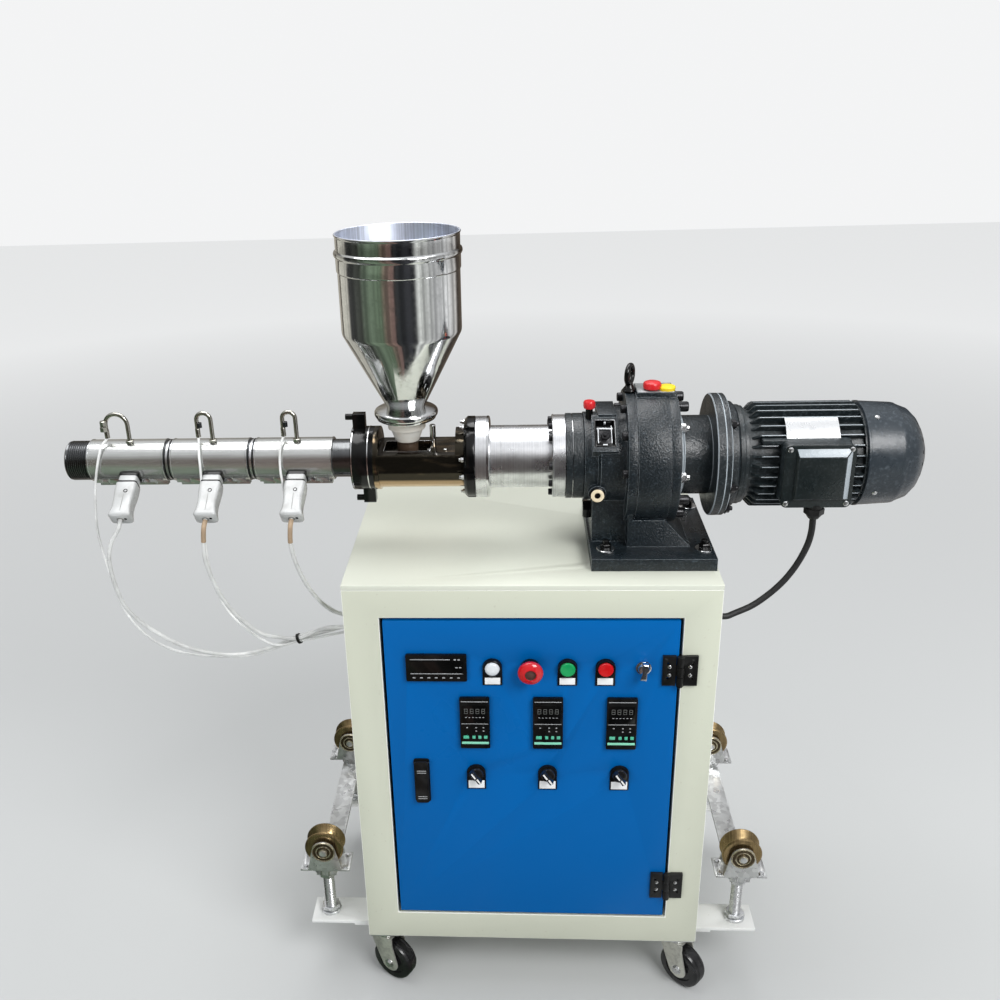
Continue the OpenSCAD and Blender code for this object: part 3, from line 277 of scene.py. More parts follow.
# Studio: a pale floor that keeps the machine's shadow, a pale room around it,
# and three wide soft lamps, the strongest above and to the right of the camera.
# The polished parts mirror dark and light strips round the machine, by the compass angle.
strips, angle = effect("room strips", Angle=0.0)
turn = fade(angle, -math.pi, math.pi)
ramp = add(strips, "ShaderNodeValToRGB", {"Fac": turn})
ramp.color_ramp.elements[0].color = (0.025, 0.025, 0.025, 1)
ramp.color_ramp.elements[1].color = (0.020, 0.022, 0.024, 1)
for position, shade in (
        (0.014, (0.03, 0.03, 0.03)), (0.024, (0.24, 0.15, 0.13)), (0.07, (0.15, 0.12, 0.09)),
        (0.085, (0.10, 0.14, 0.09)), (0.17, (0.13, 0.17, 0.12)), (0.20, (0.05, 0.055, 0.045)),
        (0.285, (0.04, 0.04, 0.04)), (0.30, (0.50, 0.48, 0.42)), (0.36, (0.62, 0.60, 0.52)),
        (0.38, (0.05, 0.04, 0.03)), (0.42, (0.45, 0.42, 0.36)), (0.50, (0.10, 0.08, 0.06)),
        (0.61, (0.06, 0.045, 0.035)), (0.635, (0.50, 0.48, 0.46)), (0.72, (0.66, 0.66, 0.66)),
        (0.80, (0.40, 0.40, 0.40)), (0.89, (0.62, 0.63, 0.60)), (0.915, (0.03, 0.03, 0.035))):
    ramp.color_ramp.elements.new(position).color = (*shade, 1)
give(strips, colour=gain(ramp.outputs["Color"], fade(line_noise(angle, 5.5, 3), 0.40, 0.56, 0.45, 1.0)))

floor_mesh = bpy.data.meshes.new("floor")
floor_mesh.from_pydata([(-9, -9, 0), (9, -9, 0), (9, 9, 0), (-9, 9, 0)], [], [(0, 1, 2, 3)])
floor = bpy.data.objects.new("floor", floor_mesh)
bpy.context.scene.collection.objects.link(floor)
floor_paint = coat("studio floor", None, roughness=0.6, specular_ior_level=0.1, emission_strength=1.0)
floor_mesh.materials.append(floor_paint)
floor_tree = floor_paint.node_tree
floor_shader = floor_tree.nodes["Principled BSDF"]
where = object_place(floor_tree)
ray = add(floor_tree, "ShaderNodeLightPath").outputs
around = add(floor_tree, "ShaderNodeGroup", node_tree=strips)
floor_tree.links.new(compass(where), around.inputs["Angle"])
around = around.outputs["Colour"]
floor_tree.links.new(blend(ray["Is Glossy Ray"], (0.50, 0.51, 0.51, 1), around), floor_shader.inputs["Base Color"])
# The floor stays pale into the distance, where the lamps no longer reach
distance = wire("VectorMath", "Value", {0: where}, operation="LENGTH")
far_off = fade(distance, 0.9, 5.5, 0.0, 0.52)
haze = blend(maths("MULTIPLY", far_off, ray["Is Camera Ray"]), (0, 0, 0, 1), (1, 1, 1, 1))
mirrored_light = gain(around, maths("MULTIPLY", far_off, 1.9))
floor_tree.links.new(blend(ray["Is Glossy Ray"], haze, mirrored_light), floor_shader.inputs["Emission Color"])
bpy.context.scene.view_settings.view_transform = "Standard"

# The room seen in the metal: pale above, darker near the horizon, with dark and bright upright panels
world = bpy.data.worlds.new("studio")
bpy.context.scene.world = world
world.use_nodes = True
sky = world.node_tree
where = add(sky, "ShaderNodeTexCoord").outputs["Generated"]
around = add(sky, "ShaderNodeGroup", {"Angle": compass(where)}, node_tree=strips)
room = blend(fade(axis_of(where, "Z"), 0.30, 0.80), around.outputs["Colour"], (0.80, 0.81, 0.83, 1))
ray = add(sky, "ShaderNodeLightPath").outputs
plain = blend(ray["Is Glossy Ray"], (0.50, 0.51, 0.52, 1), room)
sky.links.new(blend(ray["Is Camera Ray"], plain, (0.90, 0.905, 0.91, 1)), sky.nodes["Background"].inputs["Color"])


def soft_lamp(name, where, aim, width, depth, power, mirrored=True):
    """A wide rectangular lamp, its places and sizes in metres; the metal mirrors it or not."""
    data = bpy.data.lights.new(name, "AREA")
    data.shape = "RECTANGLE"
    data.size = width
    data.size_y = depth
    data.energy = power
    lamp = bpy.data.objects.new(name, data)
    lamp.matrix_world = Matrix.Translation(where) @ (aim - where).to_track_quat("-Z", "Y").to_matrix().to_4x4()
    lamp.visible_glossy = mirrored
    bpy.context.scene.collection.objects.link(lamp)


soft_lamp("key lamp", Vector((1.6, -1.9, 2.7)), Vector((0, 0, 0.8)), 1.6, 1.2, 78)
soft_lamp("fill lamp", Vector((-1.9, -2.4, 1.1)), Vector((0, 0, 0.5)), 1.6, 1.4, 24, False)
soft_lamp("ceiling lamp", Vector((-0.3, 0.5, 3.2)), Vector((0, 0, 0.8)), 2.6, 1.6, 62)

# Cabinet: folded sheet steel under warm light grey paint, its top a pale machined plate.
# The paint has a faint orange peel, soft stains and fine specks of dirt, thicker near the floor.


def settle(piece, material, body, slot, *nodes):
    """Gives a finished piece its material and its body, and hides the CAD nodes that it stands for."""
    if not piece.data.materials:
        piece.data.materials.append(material)
    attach(piece, body)
    if nodes:
        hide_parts(*nodes)
    return piece


def smooth_shaded(data, angle):
    """Smooth shading but for edges sharper than that many degrees."""
    data.polygons.foreach_set("use_smooth", [True] * len(data.polygons))
    data.set_sharp_from_angle(angle=math.radians(angle))


def softened(node, name, edge, material, body="machine", slot="chrome_plate", highlight_finish=None):
    """The CAD node's shape with small round edges of that radius; a second finish, if given, goes on the rounded edges
    as a painted highlight.
    """
    piece = bpy.data.objects.new(name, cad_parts[node].data.copy())
    bpy.context.scene.collection.objects.link(piece)
    shape = bmesh.new()
    shape.from_mesh(piece.data)
    bmesh.ops.remove_doubles(shape, verts=shape.verts, dist=0.00001)
    bmesh.ops.dissolve_limit(shape, angle_limit=math.radians(0.4), verts=shape.verts, edges=shape.edges,
                             delimit={"NORMAL"})
    if highlight_finish:
        # Faces with inward corners are split, or one of them could fold across its opening when rounded
        bmesh.ops.connect_verts_concave(shape, faces=shape.faces)
    shape.to_mesh(piece.data)
    shape.free()
    piece.data.materials.clear()
    for finish in (material, highlight_finish) if highlight_finish else ():
        piece.data.materials.append(finish)
    bevel = piece.modifiers.new("edges", "BEVEL")
    bevel.width = edge / 1000
    bevel.segments = 2
    bevel.limit_method = "ANGLE"
    bevel.angle_limit = math.radians(35)
    bevel.use_clamp_overlap = True
    bevel.material = 1 if highlight_finish else -1
    baked = bpy.data.meshes.new_from_object(piece.evaluated_get(bpy.context.evaluated_depsgraph_get()))
    piece.modifiers.clear()
    piece.data = baked
    smooth_shaded(baked, 32)
    return settle(piece, material, body, slot, node)


paint, colour, stain, amount, loss, peel = effect(
    "sprayed paint", Colour=(0.6, 0.6, 0.55), Stain=(0.45, 0.42, 0.35), Amount=0.2, Loss=0.35, Peel=0.05)
where = object_place(paint)
cloud = noise(where, 2.3, 5, 0.6)
specks = fade(noise(where, 160, 2), 0.69, 0.76, 0.0, 0.7)
low_dirt = maths("MULTIPLY", fade(axis_of(where, "Z"), 0.02, 0.34, 0.25, 0.0), cloud)
dirt = maths("ADD", maths("ADD", fade(cloud, 0.42, 0.75, 0.0, 0.35), specks), low_dirt)
give(paint, base_color=blend(maths("MULTIPLY", dirt, amount), colour, stain),
     roughness=maths("ADD", fade(cloud, 0.3, 0.8, 0.0, 0.16), loss),
     normal=bump(noise(where, 420, 1), peel, 0.0004))

cabinet_paint = coat("cabinet paint", paint, (0.545, 0.567, 0.468), (0.36, 0.33, 0.26), 0.35, 0.34, 0.10)
plate_paint = coat("top plate paint", paint, (0.590, 0.610, 0.530), (0.42, 0.41, 0.35), 0.30, 0.30, 0.06)
# The front's rounded folds take a lighter paint: a painted highlight along its edges
fold_highlight_paint = coat("painted highlight at the folds", paint, (0.80, 0.81, 0.76), (0.55, 0.54, 0.48), 0.3, 0.25, 0.05)
softened("cabinet_walls", "cabinet_shell", 0.8, cabinet_paint, "machine", "cabinet_paint")
softened("cabinet_floor", "cabinet_bottom", 0.6, cabinet_paint, "machine", "cabinet_paint")
softened("front_surround", "cabinet_front", 1.4, cabinet_paint, "machine", "cabinet_paint", fold_highlight_paint)
softened("cabinet_top", "cabinet_table", 1.5, plate_paint, "machine", "top_paint")

# Door: a blue sheet pan with a folded rim, hung on two black pin hinges at the right
# and closed by a black flush latch at the left.
door_paint = coat("door paint", paint, (0.0, 0.103, 0.350), (0.01, 0.12, 0.33), 0.08, 0.26, 0.08,
                  specular_ior_level=0.12)
softened("door_panel", "door_pan", 1.2, door_paint, "door", "door_paint")

# Hinges: black leaves round a pin, two small countersunk screws in each leaf.
# The leaf on the frame side stays, the other one and its knuckle turn with the door.
dull_black = coat("satin black", paint, 0.006, 0.08, 0.5, 0.32, 0.15, specular_ior_level=0.25)
softened("frame_hinge_leaves", "hinge_leaves_fixed", 0.5, dull_black, "machine", "black_steel")
softened("door_hardware", "hinge_leaves_door", 0.5, dull_black, "door", "black_steel")


def mesh_piece(name, shape, materials, body, slot, *nodes, angle=32):
    """A finished piece from a bmesh, its materials in the order of the faces' slots."""
    bmesh.ops.recalc_face_normals(shape, faces=shape.faces)
    data = bpy.data.meshes.new(name)
    shape.to_mesh(data)
    shape.free()
    smooth_shaded(data, angle)
    for material in materials:
        data.materials.append(material)
    piece = bpy.data.objects.new(name, data)
    bpy.context.scene.collection.objects.link(piece)
    return settle(piece, None, body, slot, *nodes)


def turned(shape, outline, origin, along, steps=48, slot=0, ends=True):
    """Adds a turned body to the bmesh: pairs of distance along and radius, closed at its ends or not."""
    along = along.normalized()
    side = along.orthogonal().normalized()
    other = along.cross(side)
    rings = []
    for far, radius in outline:
        middle = origin + along * (far / 1000)
        radius = radius / 1000
        swings = [2 * math.pi * k / steps for k in range(steps)] if radius else [0.0]
        rings.append([shape.verts.new(middle + side * (radius * math.cos(a)) + other * (radius * math.sin(a)))
                      for a in swings])
    for a, b in zip(rings, rings[1:]):
        for k in range(steps):
            corners = [a[k % len(a)], a[(k + 1) % len(a)], b[(k + 1) % len(b)], b[k % len(b)]]
            corners = [v for i, v in enumerate(corners) if v not in corners[:i]]
            if len(corners) > 2:
                shape.faces.new(corners).material_index = slot
    for ring in (rings[0][::-1], rings[-1]):
        if ends and len(ring) > 1:
            shape.faces.new(ring).material_index = slot


def blend_in(shape, part, slot=0, matrix=None):
    """Adds one bmesh to another, its faces in that material slot, or in their own if it is None."""
    for face in part.faces:
        face.material_index = face.material_index if slot is None else slot
    data = bpy.data.meshes.new("part")
    part.to_mesh(data)
    part.free()
    if matrix:
        data.transform(matrix)
    shape.from_mesh(data)
    bpy.data.meshes.remove(data)


def cube(size, edge=0.0, segments=2, middle=None):
    """A bmesh of a block with rounded edges, all in millimetres, round zero or round a middle."""
    part = bmesh.new()
    bmesh.ops.create_cube(part, size=1)
    bmesh.ops.scale(part, vec=size, verts=part.verts)
    if edge:
        bmesh.ops.bevel(part, geom=list(part.edges), offset=edge / 1000, segments=segments, profile=0.5,
                        affect="EDGES")
    if middle:
        bmesh.ops.translate(part, vec=middle, verts=part.verts)
    return part


def block(shape, low, high, edge=0.8, slot=0):
    """Adds a block between two corners in the machine's own frame, with rounded edges."""
    low, high = place(*low), place(*high)
    blend_in(shape, cube(high - low, edge, 2, (low + high) / 2), slot)


def sown_tree(name):
    """Geometry Nodes that set a part on every point, its top along the point's own facing."""
    tree = bpy.data.node_groups.new(name, "GeometryNodeTree")
    for socket, kind in (("Places", "Geometry"), ("Part", "Object"), ("Finish", "Material"), ("Spin", "Float")):
        tree.interface.new_socket(socket, in_out="INPUT", socket_type="NodeSocket" + kind)
    tree.interface.new_socket("Parts", in_out="OUTPUT", socket_type="NodeSocketGeometry")
    given = tree.nodes.new("NodeGroupInput").outputs
    result = tree.nodes.new("NodeGroupOutput")
    facing = add(tree, "GeometryNodeInputNamedAttribute", {"Name": "facing"}, data_type="FLOAT_VECTOR").outputs
    spun = add(tree, "FunctionNodeAxisAngleToRotation", {"Axis": (0, 0, 1), "Angle": given["Spin"]}).outputs
    turn = add(tree, "FunctionNodeAlignRotationToVector", {"Vector": facing["Attribute"]}, axis="Z").outputs
    both = add(tree, "FunctionNodeRotateRotation", {"Rotation": turn["Rotation"], "Rotate By": spun["Rotation"]},
               rotation_space="LOCAL").outputs
    part = add(tree, "GeometryNodeObjectInfo", {"Object": given["Part"]}).outputs
    sown = add(tree, "GeometryNodeInstanceOnPoints", {"Points": given["Places"], "Instance": part["Geometry"],
                                                      "Rotation": both["Rotation"]}).outputs
    real = add(tree, "GeometryNodeRealizeInstances", {"Geometry": sown["Instances"]}).outputs
    finished = add(tree, "GeometryNodeSetMaterial", {"Geometry": real["Geometry"], "Material": given["Finish"]})
    tree.links.new(finished.outputs["Geometry"], result.inputs["Parts"])
    return tree


set_on_points = sown_tree("set on points")


def sow(name, shape, places, material, body, spin=0.0):
    """One plain mesh of the part repeated at the places, each a point and the way that it faces."""
    bmesh.ops.recalc_face_normals(shape, faces=shape.faces)
    part_mesh = bpy.data.meshes.new("pattern")
    shape.to_mesh(part_mesh)
    shape.free()
    smooth_shaded(part_mesh, 32)
    part = bpy.data.objects.new("pattern", part_mesh)
    bpy.context.scene.collection.objects.link(part)
    data = bpy.data.meshes.new(name)
    data.from_pydata([tuple(where) for where, _ in places], [], [])
    facing = data.attributes.new("facing", "FLOAT_VECTOR", "POINT")
    facing.data.foreach_set("vector", [c for _, way in places for c in way])
    seeds = bpy.data.objects.new(name, data)
    bpy.context.scene.collection.objects.link(seeds)
    grow = seeds.modifiers.new("grow", "NODES")
    grow.node_group = set_on_points
    values = {"Part": part, "Finish": material, "Spin": spin}
    for item in set_on_points.interface.items_tree:
        if item.item_type == "SOCKET" and item.in_out == "INPUT" and item.name in values:
            grow[item.identifier] = values[item.name]
    baked = bpy.data.meshes.new_from_object(seeds.evaluated_get(bpy.context.evaluated_depsgraph_get()))
    seeds.modifiers.clear()
    seeds.data = baked
    baked.name = name
    bpy.data.meshes.remove(data)
    bpy.data.objects.remove(part)
    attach(seeds, body)


def lathed(outline, steps, shape=None):
    """A turned body that stands on z = 0, added to the bmesh or in one of its own."""
    shape = shape or bmesh.new()
    turned(shape, outline, mm(0, 0, 0), up, steps)
    return shape


def socket_head(radius, height):
    """A round screw head with a six-sided recess, standing on z = 0."""
    shape = lathed([(-1, 0), (-1, radius), (height * 0.86, radius), (height, radius * 0.86),
                    (height, radius * 0.55)], 24)
    lid = [f for f in shape.faces if len(f.verts) > 4 and f.calc_center_median().z > height * 0.99 / 1000]
    bmesh.ops.delete(shape, geom=lid, context="FACES")
    return lathed([(height, radius * 0.55), (height - 0.1, radius * 0.5), (height * 0.35, radius * 0.5),
                   (height * 0.35, 0)], 6, shape)


def hex_head(across, height, washer=0.0, thick=1.5, stem=0.0):
    """A six-sided bolt head or nut on a round washer, with its stud's end if it has one."""
    shape = bmesh.new()
    base = 0.0
    if washer:
        lathed([(-0.4, 0), (-0.4, washer), (thick * 0.8, washer), (thick, washer * 0.95), (thick, 0)], 32, shape)
        base = thick
    radius = across / 2 / math.cos(math.pi / 6)
    top = base + height
    lathed([(base - 0.4, 0), (base - 0.4, radius), (base + height * 0.85, radius), (top, radius * 0.86), (top, 0)],
           6, shape)
    if stem:
        lathed([(top - 1, 0), (top - 1, stem), (top + stem, stem), (top + stem * 1.25, stem * 0.75),
                (top + stem * 1.25, 0)], 24, shape)
    return shape


def domed_head(radius, height):
    """A low domed screw head."""
    return lathed([(-0.3, 0), (-0.3, radius), (height * 0.3, radius), (height * 0.8, radius * 0.75),
                   (height, radius * 0.3), (height, 0)], 24)


bright_metal, colour, wear, rough = effect("bright metal", Colour=(0.6, 0.6, 0.6), Wear=0.3, Rough=0.25)
spots = noise(object_place(bright_metal), 90, 5, 0.65)
dulled = maths("MULTIPLY", maths("SUBTRACT", fade(spots, 0.45, 0.7, 1.0, 0.55), 1.0), wear)
give(bright_metal, base_color=gain(colour, maths("ADD", dulled, 1.0)),
     roughness=maths("ADD", fade(spots, 0.35, 0.7, 0.0, 0.14), rough), normal=bump(spots, 0.12, 0.0003))

zinc_bolt = coat("zinc plated bolt", bright_metal, (0.72, 0.73, 0.74), 0.6, 0.22, metallic=1.0)
black_bolt = coat("blackened bolt", bright_metal, (0.022, 0.022, 0.024), 0.4, 0.24, metallic=0.6)
for name, x, body in (("hinge_screws_fixed", 246.5, "machine"), ("hinge_screws_door", 215, "door")):
    sow(name, domed_head(3.1, 1.2), [(place(x, -5, z + s), forward) for z in (241, 671) for s in (-7.5, 7.5)],
        zinc_bolt, body)

# Latch: a black flush handle in its own dished plate, pressed at one end to swing it out.
# Its flap is a moulded bar with two shallow grip lines across each end.
moulded, colour, dust, dusty, rough, grain = effect(
    "moulded plastic", Colour=(0.1, 0.1, 0.1), Dust=(0.3, 0.3, 0.3), Dusty=0.15, Rough=0.35, Grain=0.1)
where = object_place(moulded)
film = maths("MULTIPLY", fade(noise(where, 45, 5), 0.42, 0.72), dusty)
give(moulded, base_color=blend(film, colour, dust),
     roughness=maths("ADD", maths("MULTIPLY", film, 0.5), rough), normal=bump(noise(where, 1400, 2), grain, 0.0002))

black_plastic = coat("black plastic", moulded, 0.006, 0.10, 0.18, 0.30, 0.2, specular_ior_level=0.25)
grey_mark = coat("grey marks", moulded, (0.36, 0.37, 0.38), 0.2, 0.2, 0.35, 0.05)
softened("door_handle", "latch_bar", 1.2, black_plastic, "latch_flap", "black_steel")
shape = bmesh.new()
for z in (423.5, 427.5, 475.5, 479.5):
    block(shape, (-186.5, -8.9, z - 0.6), (-171.5, -8.3, z + 0.6), 0.2)
mesh_piece("latch_grip_lines", shape, [grey_mark], "latch_flap", "black_steel")

# Digital meter and three temperature controllers: black moulded cases let into the door,
# each with a dark glossy window, pale lines and marks, and on the controllers four green keys.
window_glass = coat("dark window", moulded, 0.002, 0.02, 0.10, 0.06, 0.0, specular_ior_level=0.35)
green_key = coat("green key", moulded, (0.075, 0.44, 0.28), (0.2, 0.5, 0.4), 0.25, 0.35, 0.1)
mint_line = coat("mint line", moulded, (0.22, 0.62, 0.44), (0.3, 0.5, 0.4), 0.2, 0.4, 0.05)
faint_mark = coat("faint marks", moulded, (0.10, 0.105, 0.10), 0.05, 0.5, 0.35, 0.05)
bezel_black = coat("case plastic", moulded, 0.004, 0.03, 0.15, 0.26, 0.25, specular_ior_level=0.25)
softened("digital_meter", "meter_case", 1.2, bezel_black, "door", "black_plastic")
softened("temperature_controllers", "controller_cases", 1.2, bezel_black, "door", "black_plastic")


def raised_mark(x, z, half_x, half_z, rise, edge=0.2, slot=1):
    """Adds a small block that stands that far off the instruments' faces."""
    block(shape, (x - half_x, -6 - rise, z - half_z), (x + half_x, -6, z + half_z), edge, slot)


shape = bmesh.new()
raised_mark(-147.5, 678.25, 42, 10.25, 0.8, 0.3, 0)
raised_mark(-157, 691.2, 31.5, 0.6, 0.5)
raised_mark(-147.5, 665.5, 41, 0.6, 0.5)
for x, z in ((-117.6, 691.2), (-111.6, 691.2), (-115.6, 677.2), (-109.6, 677.2)):
    raised_mark(x, z, 1.9, 0.9, 1)
for k in range(7):
    raised_mark(-183 + k * 11.7, 658.1, 2.2, 0.9, 0.6)
mesh_piece("meter_face", shape, [window_glass, grey_mark], "door", "black_plastic")

shape = bmesh.new()
instrument_x = (-89, 28, 145)
for middle in instrument_x:
    raised_mark(middle, 590.25, 20.5, 15.75, 0.8, 0.4, 0)
    raised_mark(middle, 613.6, 21.5, 0.6, 0.5)
    raised_mark(middle, 571.7, 21.5, 0.5, 0.5)
    # Four unlit figures, each a standing frame of bars, and a row of smaller ones below
    for k in range(4):
        x = middle - 13.8 + k * 9.2
        for z in (591.8, 596, 600.2):
            raised_mark(x, z, 2.2, 0.5, 1.1, 0.2, 4)
        for s in (-2.4, 2.4):
            raised_mark(x + s, 596, 0.4, 4.5, 1.1, 0.2, 4)
    for k in range(6):
        raised_mark(middle - 14 + k * 5.6, 584.3, 1.4, 0.5, 1.1)
    for x, z in ((-12.5, 564.5), (2, 564.5), (13.5, 564.5), (2, 558), (13.5, 558)):
        raised_mark(middle + x, z, 1.3, 0.9, 0.6, 0.3)
    for x, half in ((-14.5, 4.5), (-2, 2.5), (7.5, 2.5), (17, 2.8)):
        raised_mark(middle + x, 546.35, half, 2.85, 1.4, 0.6, 2)
    raised_mark(middle, 535, 21.8, 2.2, 0.6, 0.3, 3)
mesh_piece("controller_faces", shape, [window_glass, grey_mark, green_key, mint_line, faint_mark],
           "door", "black_plastic")

# Controls in the upper row: a white lamp, a red mushroom stop, a green and a red button,
# and a chrome key knob; below them three black selector knobs on arched plates.
controls_z = 675
softened("control_bezels", "control_collars", 0.7, bezel_black, "door", "black_plastic")
white_label = coat("white label", moulded, (0.80, 0.81, 0.82), (0.45, 0.44, 0.40), 0.25, 0.42, 0.05)
shape = bmesh.new()
for x in (-59.5, 58, 117):
    block(shape, (x - 12.2, -2.6, 644), (x + 12.2, -1.8, 656.2), 0.3)
for x in instrument_x:
    block(shape, (x - 13.2, -2.6, 442.2), (x + 13.2, -1.8, 457.2), 0.3)
mesh_piece("control_labels", shape, [white_label], "door", "cream_plastic")

lamp_lens = coat("lamp lens", moulded, (0.62, 0.65, 0.68), (0.8, 0.82, 0.83), 0.6, 0.12, 0.0, coat_weight=0.6)
chrome = coat("chrome", bright_metal, (0.80, 0.81, 0.82), 0.25, 0.08, metallic=1.0)
shape = bmesh.new()
turned(shape, [(0, 0), (0, 15), (3.5, 15.2), (6.2, 14.6), (7.5, 12.8), (6.8, 11.8), (6.8, 0)],
       place(-59.5, 0, controls_z), forward)
turned(shape, [(6.4, 0), (6.4, 11.7), (8.8, 11.2), (10.7, 9.4), (11.9, 6.4), (12.5, 3), (12.6, 0)],
       place(-59.5, 0, controls_z), forward, 48, 1)
mesh_piece("lamp", shape, [bezel_black, lamp_lens], "door", "cream_plastic", "indicator_lamp", angle=40)
# The key switch has a chrome ring of its own
key_at = place(175.5, 0, controls_z)
collars = bpy.data.objects["control_collars"].data
collars.materials.append(chrome)
for face in collars.polygons:
    if abs(face.center.x - key_at.x) < 0.014 and abs(face.center.z - key_at.z) < 0.014:
        face.material_index = 1

for name, x, colour, slot in (("green_button", 58, (0.004, 0.30, 0.085), "green_plastic"),
                              ("red_button", 117, (0.52, 0.004, 0.006), "red_plastic")):
    button_plastic = coat(name + " plastic", moulded, colour, 0.5, 0.05, 0.18, 0.02, coat_weight=0.3)
    shape = bmesh.new()
    turned(shape, [(-16, 0), (-16, 10.2), (5.2, 10.2), (5.2, 11.9), (9.4, 11.9), (10.6, 11), (10.9, 9.4),
                   (10.5, 7), (10.2, 0)], place(x, 0, controls_z), forward)
    mesh_piece(name + "_cap", shape, [button_plastic], name, slot, name, angle=40)

stop_red = coat("stop red", moulded, (0.50, 0.004, 0.010), (0.6, 0.2, 0.2), 0.08, 0.16, 0.02, coat_weight=0.6)
stop_brown = coat("stop recess", moulded, (0.050, 0.014, 0.010), (0.12, 0.05, 0.04), 0.6, 0.5, 0.4)
shape = bmesh.new()
turned(shape, [(-16, 0), (-16, 10.2), (12.8, 10.2), (14.6, 13), (14.9, 17.8), (16, 19.6), (18.4, 20), (20.6, 19.5),
               (22.8, 17.8), (24.6, 14.8), (26.2, 11.8), (27, 10.4), (26.8, 9.2), (25.8, 8.6)],
       place(0, 0, controls_z), forward, 64, 0, False)
turned(shape, [(25.8, 8.6), (24, 8), (23.8, 6), (24.8, 4.4), (25, 0)],
       place(0, 0, controls_z), forward, 64, 1, False)
bmesh.ops.remove_doubles(shape, verts=shape.verts, dist=0.00002)
mesh_piece("stop_mushroom", shape, [stop_red, stop_brown], "emergency_stop", "red_plastic", "emergency_stop",
           angle=40)

knob_black = coat("knob plastic", moulded, (0.008, 0.008, 0.009), 0.08, 0.12, 0.16, 0.05, coat_weight=0.3)
pointer_and_highlight_white = coat("pointer and highlight line", moulded, (0.80, 0.80, 0.79), (0.5, 0.5, 0.48), 0.2, 0.35, 0.0)
for k, x in enumerate(instrument_x, 1):
    shape = bmesh.new()
    turned(shape, [(-18, 0), (-18, 10.2), (5.2, 10.2), (5.4, 11.8), (8.6, 12), (9.8, 11.3), (10.4, 9.8), (10.4, 0)],
           place(x, 0, 473), forward)
    bar = cube(mm(8.6, 10, 26.2))
    for vert in bar.verts:
        if vert.co.y < 0:
            vert.co.x *= 0.72
            vert.co.z *= 0.94
    bmesh.ops.bevel(bar, geom=list(bar.edges), offset=0.0014, segments=3, profile=0.5, affect="EDGES")
    lean = Matrix.Rotation(math.radians(-33), 4, "Y")
    blend_in(shape, bar, 0, Matrix.Translation(place(x, -14.8, 473)) @ lean)
    # Two white lines along each bar: painted highlights of its edges, drawn as pointer lines
    for length, across, along in ((11.2, -0.6, 6.4), (10, 0.8, -6.2)):
        blend_in(shape, cube(mm(2.7, 0.6, length), 0.2, 1), 1,
                 Matrix.Translation(place(x, -19.7, 473)) @ lean @ Matrix.Translation(mm(across, 0, along)))
    mesh_piece(f"selector_{k}", shape, [knob_black, pointer_and_highlight_white], f"selector_{k}", "knob_plastic",
               f"selector_knob_{k}", angle=36)

shape = bmesh.new()
turned(shape, [(-18, 0), (-18, 5), (3.4, 5), (3.6, 8.8), (6.8, 9), (8.4, 8), (8.6, 0)], key_at, forward, 40)
wing = bmesh.new()
bmesh.ops.create_cube(wing, size=1)
bmesh.ops.subdivide_edges(wing, edges=list(wing.edges), cuts=5, use_grid_fill=True)
for vert in wing.verts:
    end = abs(vert.co.z) * 2
    vert.co.x *= 0.60 + 0.55 * end - 0.30 * end**4
    vert.co.y *= 1.0 - 0.35 * end**3
bmesh.ops.scale(wing, vec=mm(11, 11.6, 29.6), verts=wing.verts)
bmesh.ops.smooth_vert(wing, verts=wing.verts, factor=0.5, use_axis_x=True, use_axis_y=True, use_axis_z=True)
blend_in(shape, wing, 0, Matrix.Translation(key_at + mm(0, -14, 0)) @ Matrix.Rotation(0.12, 4, "Y"))
mesh_piece("key_wing", shape, [chrome], "key_knob", "chrome_plate", "key_knob", angle=50)

# Gear unit: one grey iron casting with its foot, column and web, under thick charcoal paint
# with a pebbled skin. Black socket screws hold its drum, four bolts hold it to the top plate.
cast, colour, edge, pebble, relief, rough = effect(
    "cast iron paint", Colour=(0.02, 0.02, 0.02), Edge=(0.1, 0.11, 0.12), Pebble=330.0, Relief=0.5, Rough=0.3)
where = object_place(cast)
grains = noise(where, pebble, 2.5, 0.55)
swells = noise(where, 28, 4)
scuffs = maths("ADD", fade(noise(where, 75, 6, 0.7), 0.60, 0.74, 0.0, 0.55), fade(grains, 0.52, 0.74, 0.0, 0.35),
               use_clamp=True)
give(cast, base_color=blend(scuffs, colour, edge),
     roughness=maths("ADD", fade(swells, 0.35, 0.7, 0.0, 0.18), rough),
     normal=bump(maths("ADD", grains, maths("MULTIPLY", swells, 0.6)), relief, 0.0015))

gear_iron = coat("charcoal casting", cast, (0.0060, 0.0100, 0.0130), (0.070, 0.092, 0.112), 340, 0.75, 0.25)
flange_iron = coat("dark flange casting", cast, (0.0080, 0.0120, 0.0145), (0.070, 0.088, 0.100), 300, 0.65, 0.27)
# A lighter, bluish line along the casting's corners: a painted highlight
edge_highlight_paint = coat("painted edge highlight", cast, (0.32, 0.36, 0.39), (0.50, 0.54, 0.57), 260, 0.35, 0.22)
softened("gearbox_housing", "gear_casting", 1.8, gear_iron, "machine", "gear_paint", edge_highlight_paint)
softened("gearbox_input_cover", "gear_neck", 1.6, flange_iron, "machine", "gear_paint", edge_highlight_paint)

red_cap = coat("red cap", moulded, (0.52, 0.010, 0.014), (0.6, 0.25, 0.25), 0.15, 0.28, 0.15)
yellow_cap = coat("yellow cap", moulded, (0.80, 0.58, 0.010), (0.5, 0.35, 0.05), 0.4, 0.32, 0.3)
gloss_black = coat("gloss black steel", moulded, 0.002, (0.02, 0.02, 0.022), 0.12, 0.12, 0.2,
                   specular_ior_level=0.32)
gauge_cream = coat("gauge ring", moulded, (0.72, 0.62, 0.44), (0.4, 0.3, 0.2), 0.3, 0.35, 0.1)
drum_top = 1074.5
shape = bmesh.new()
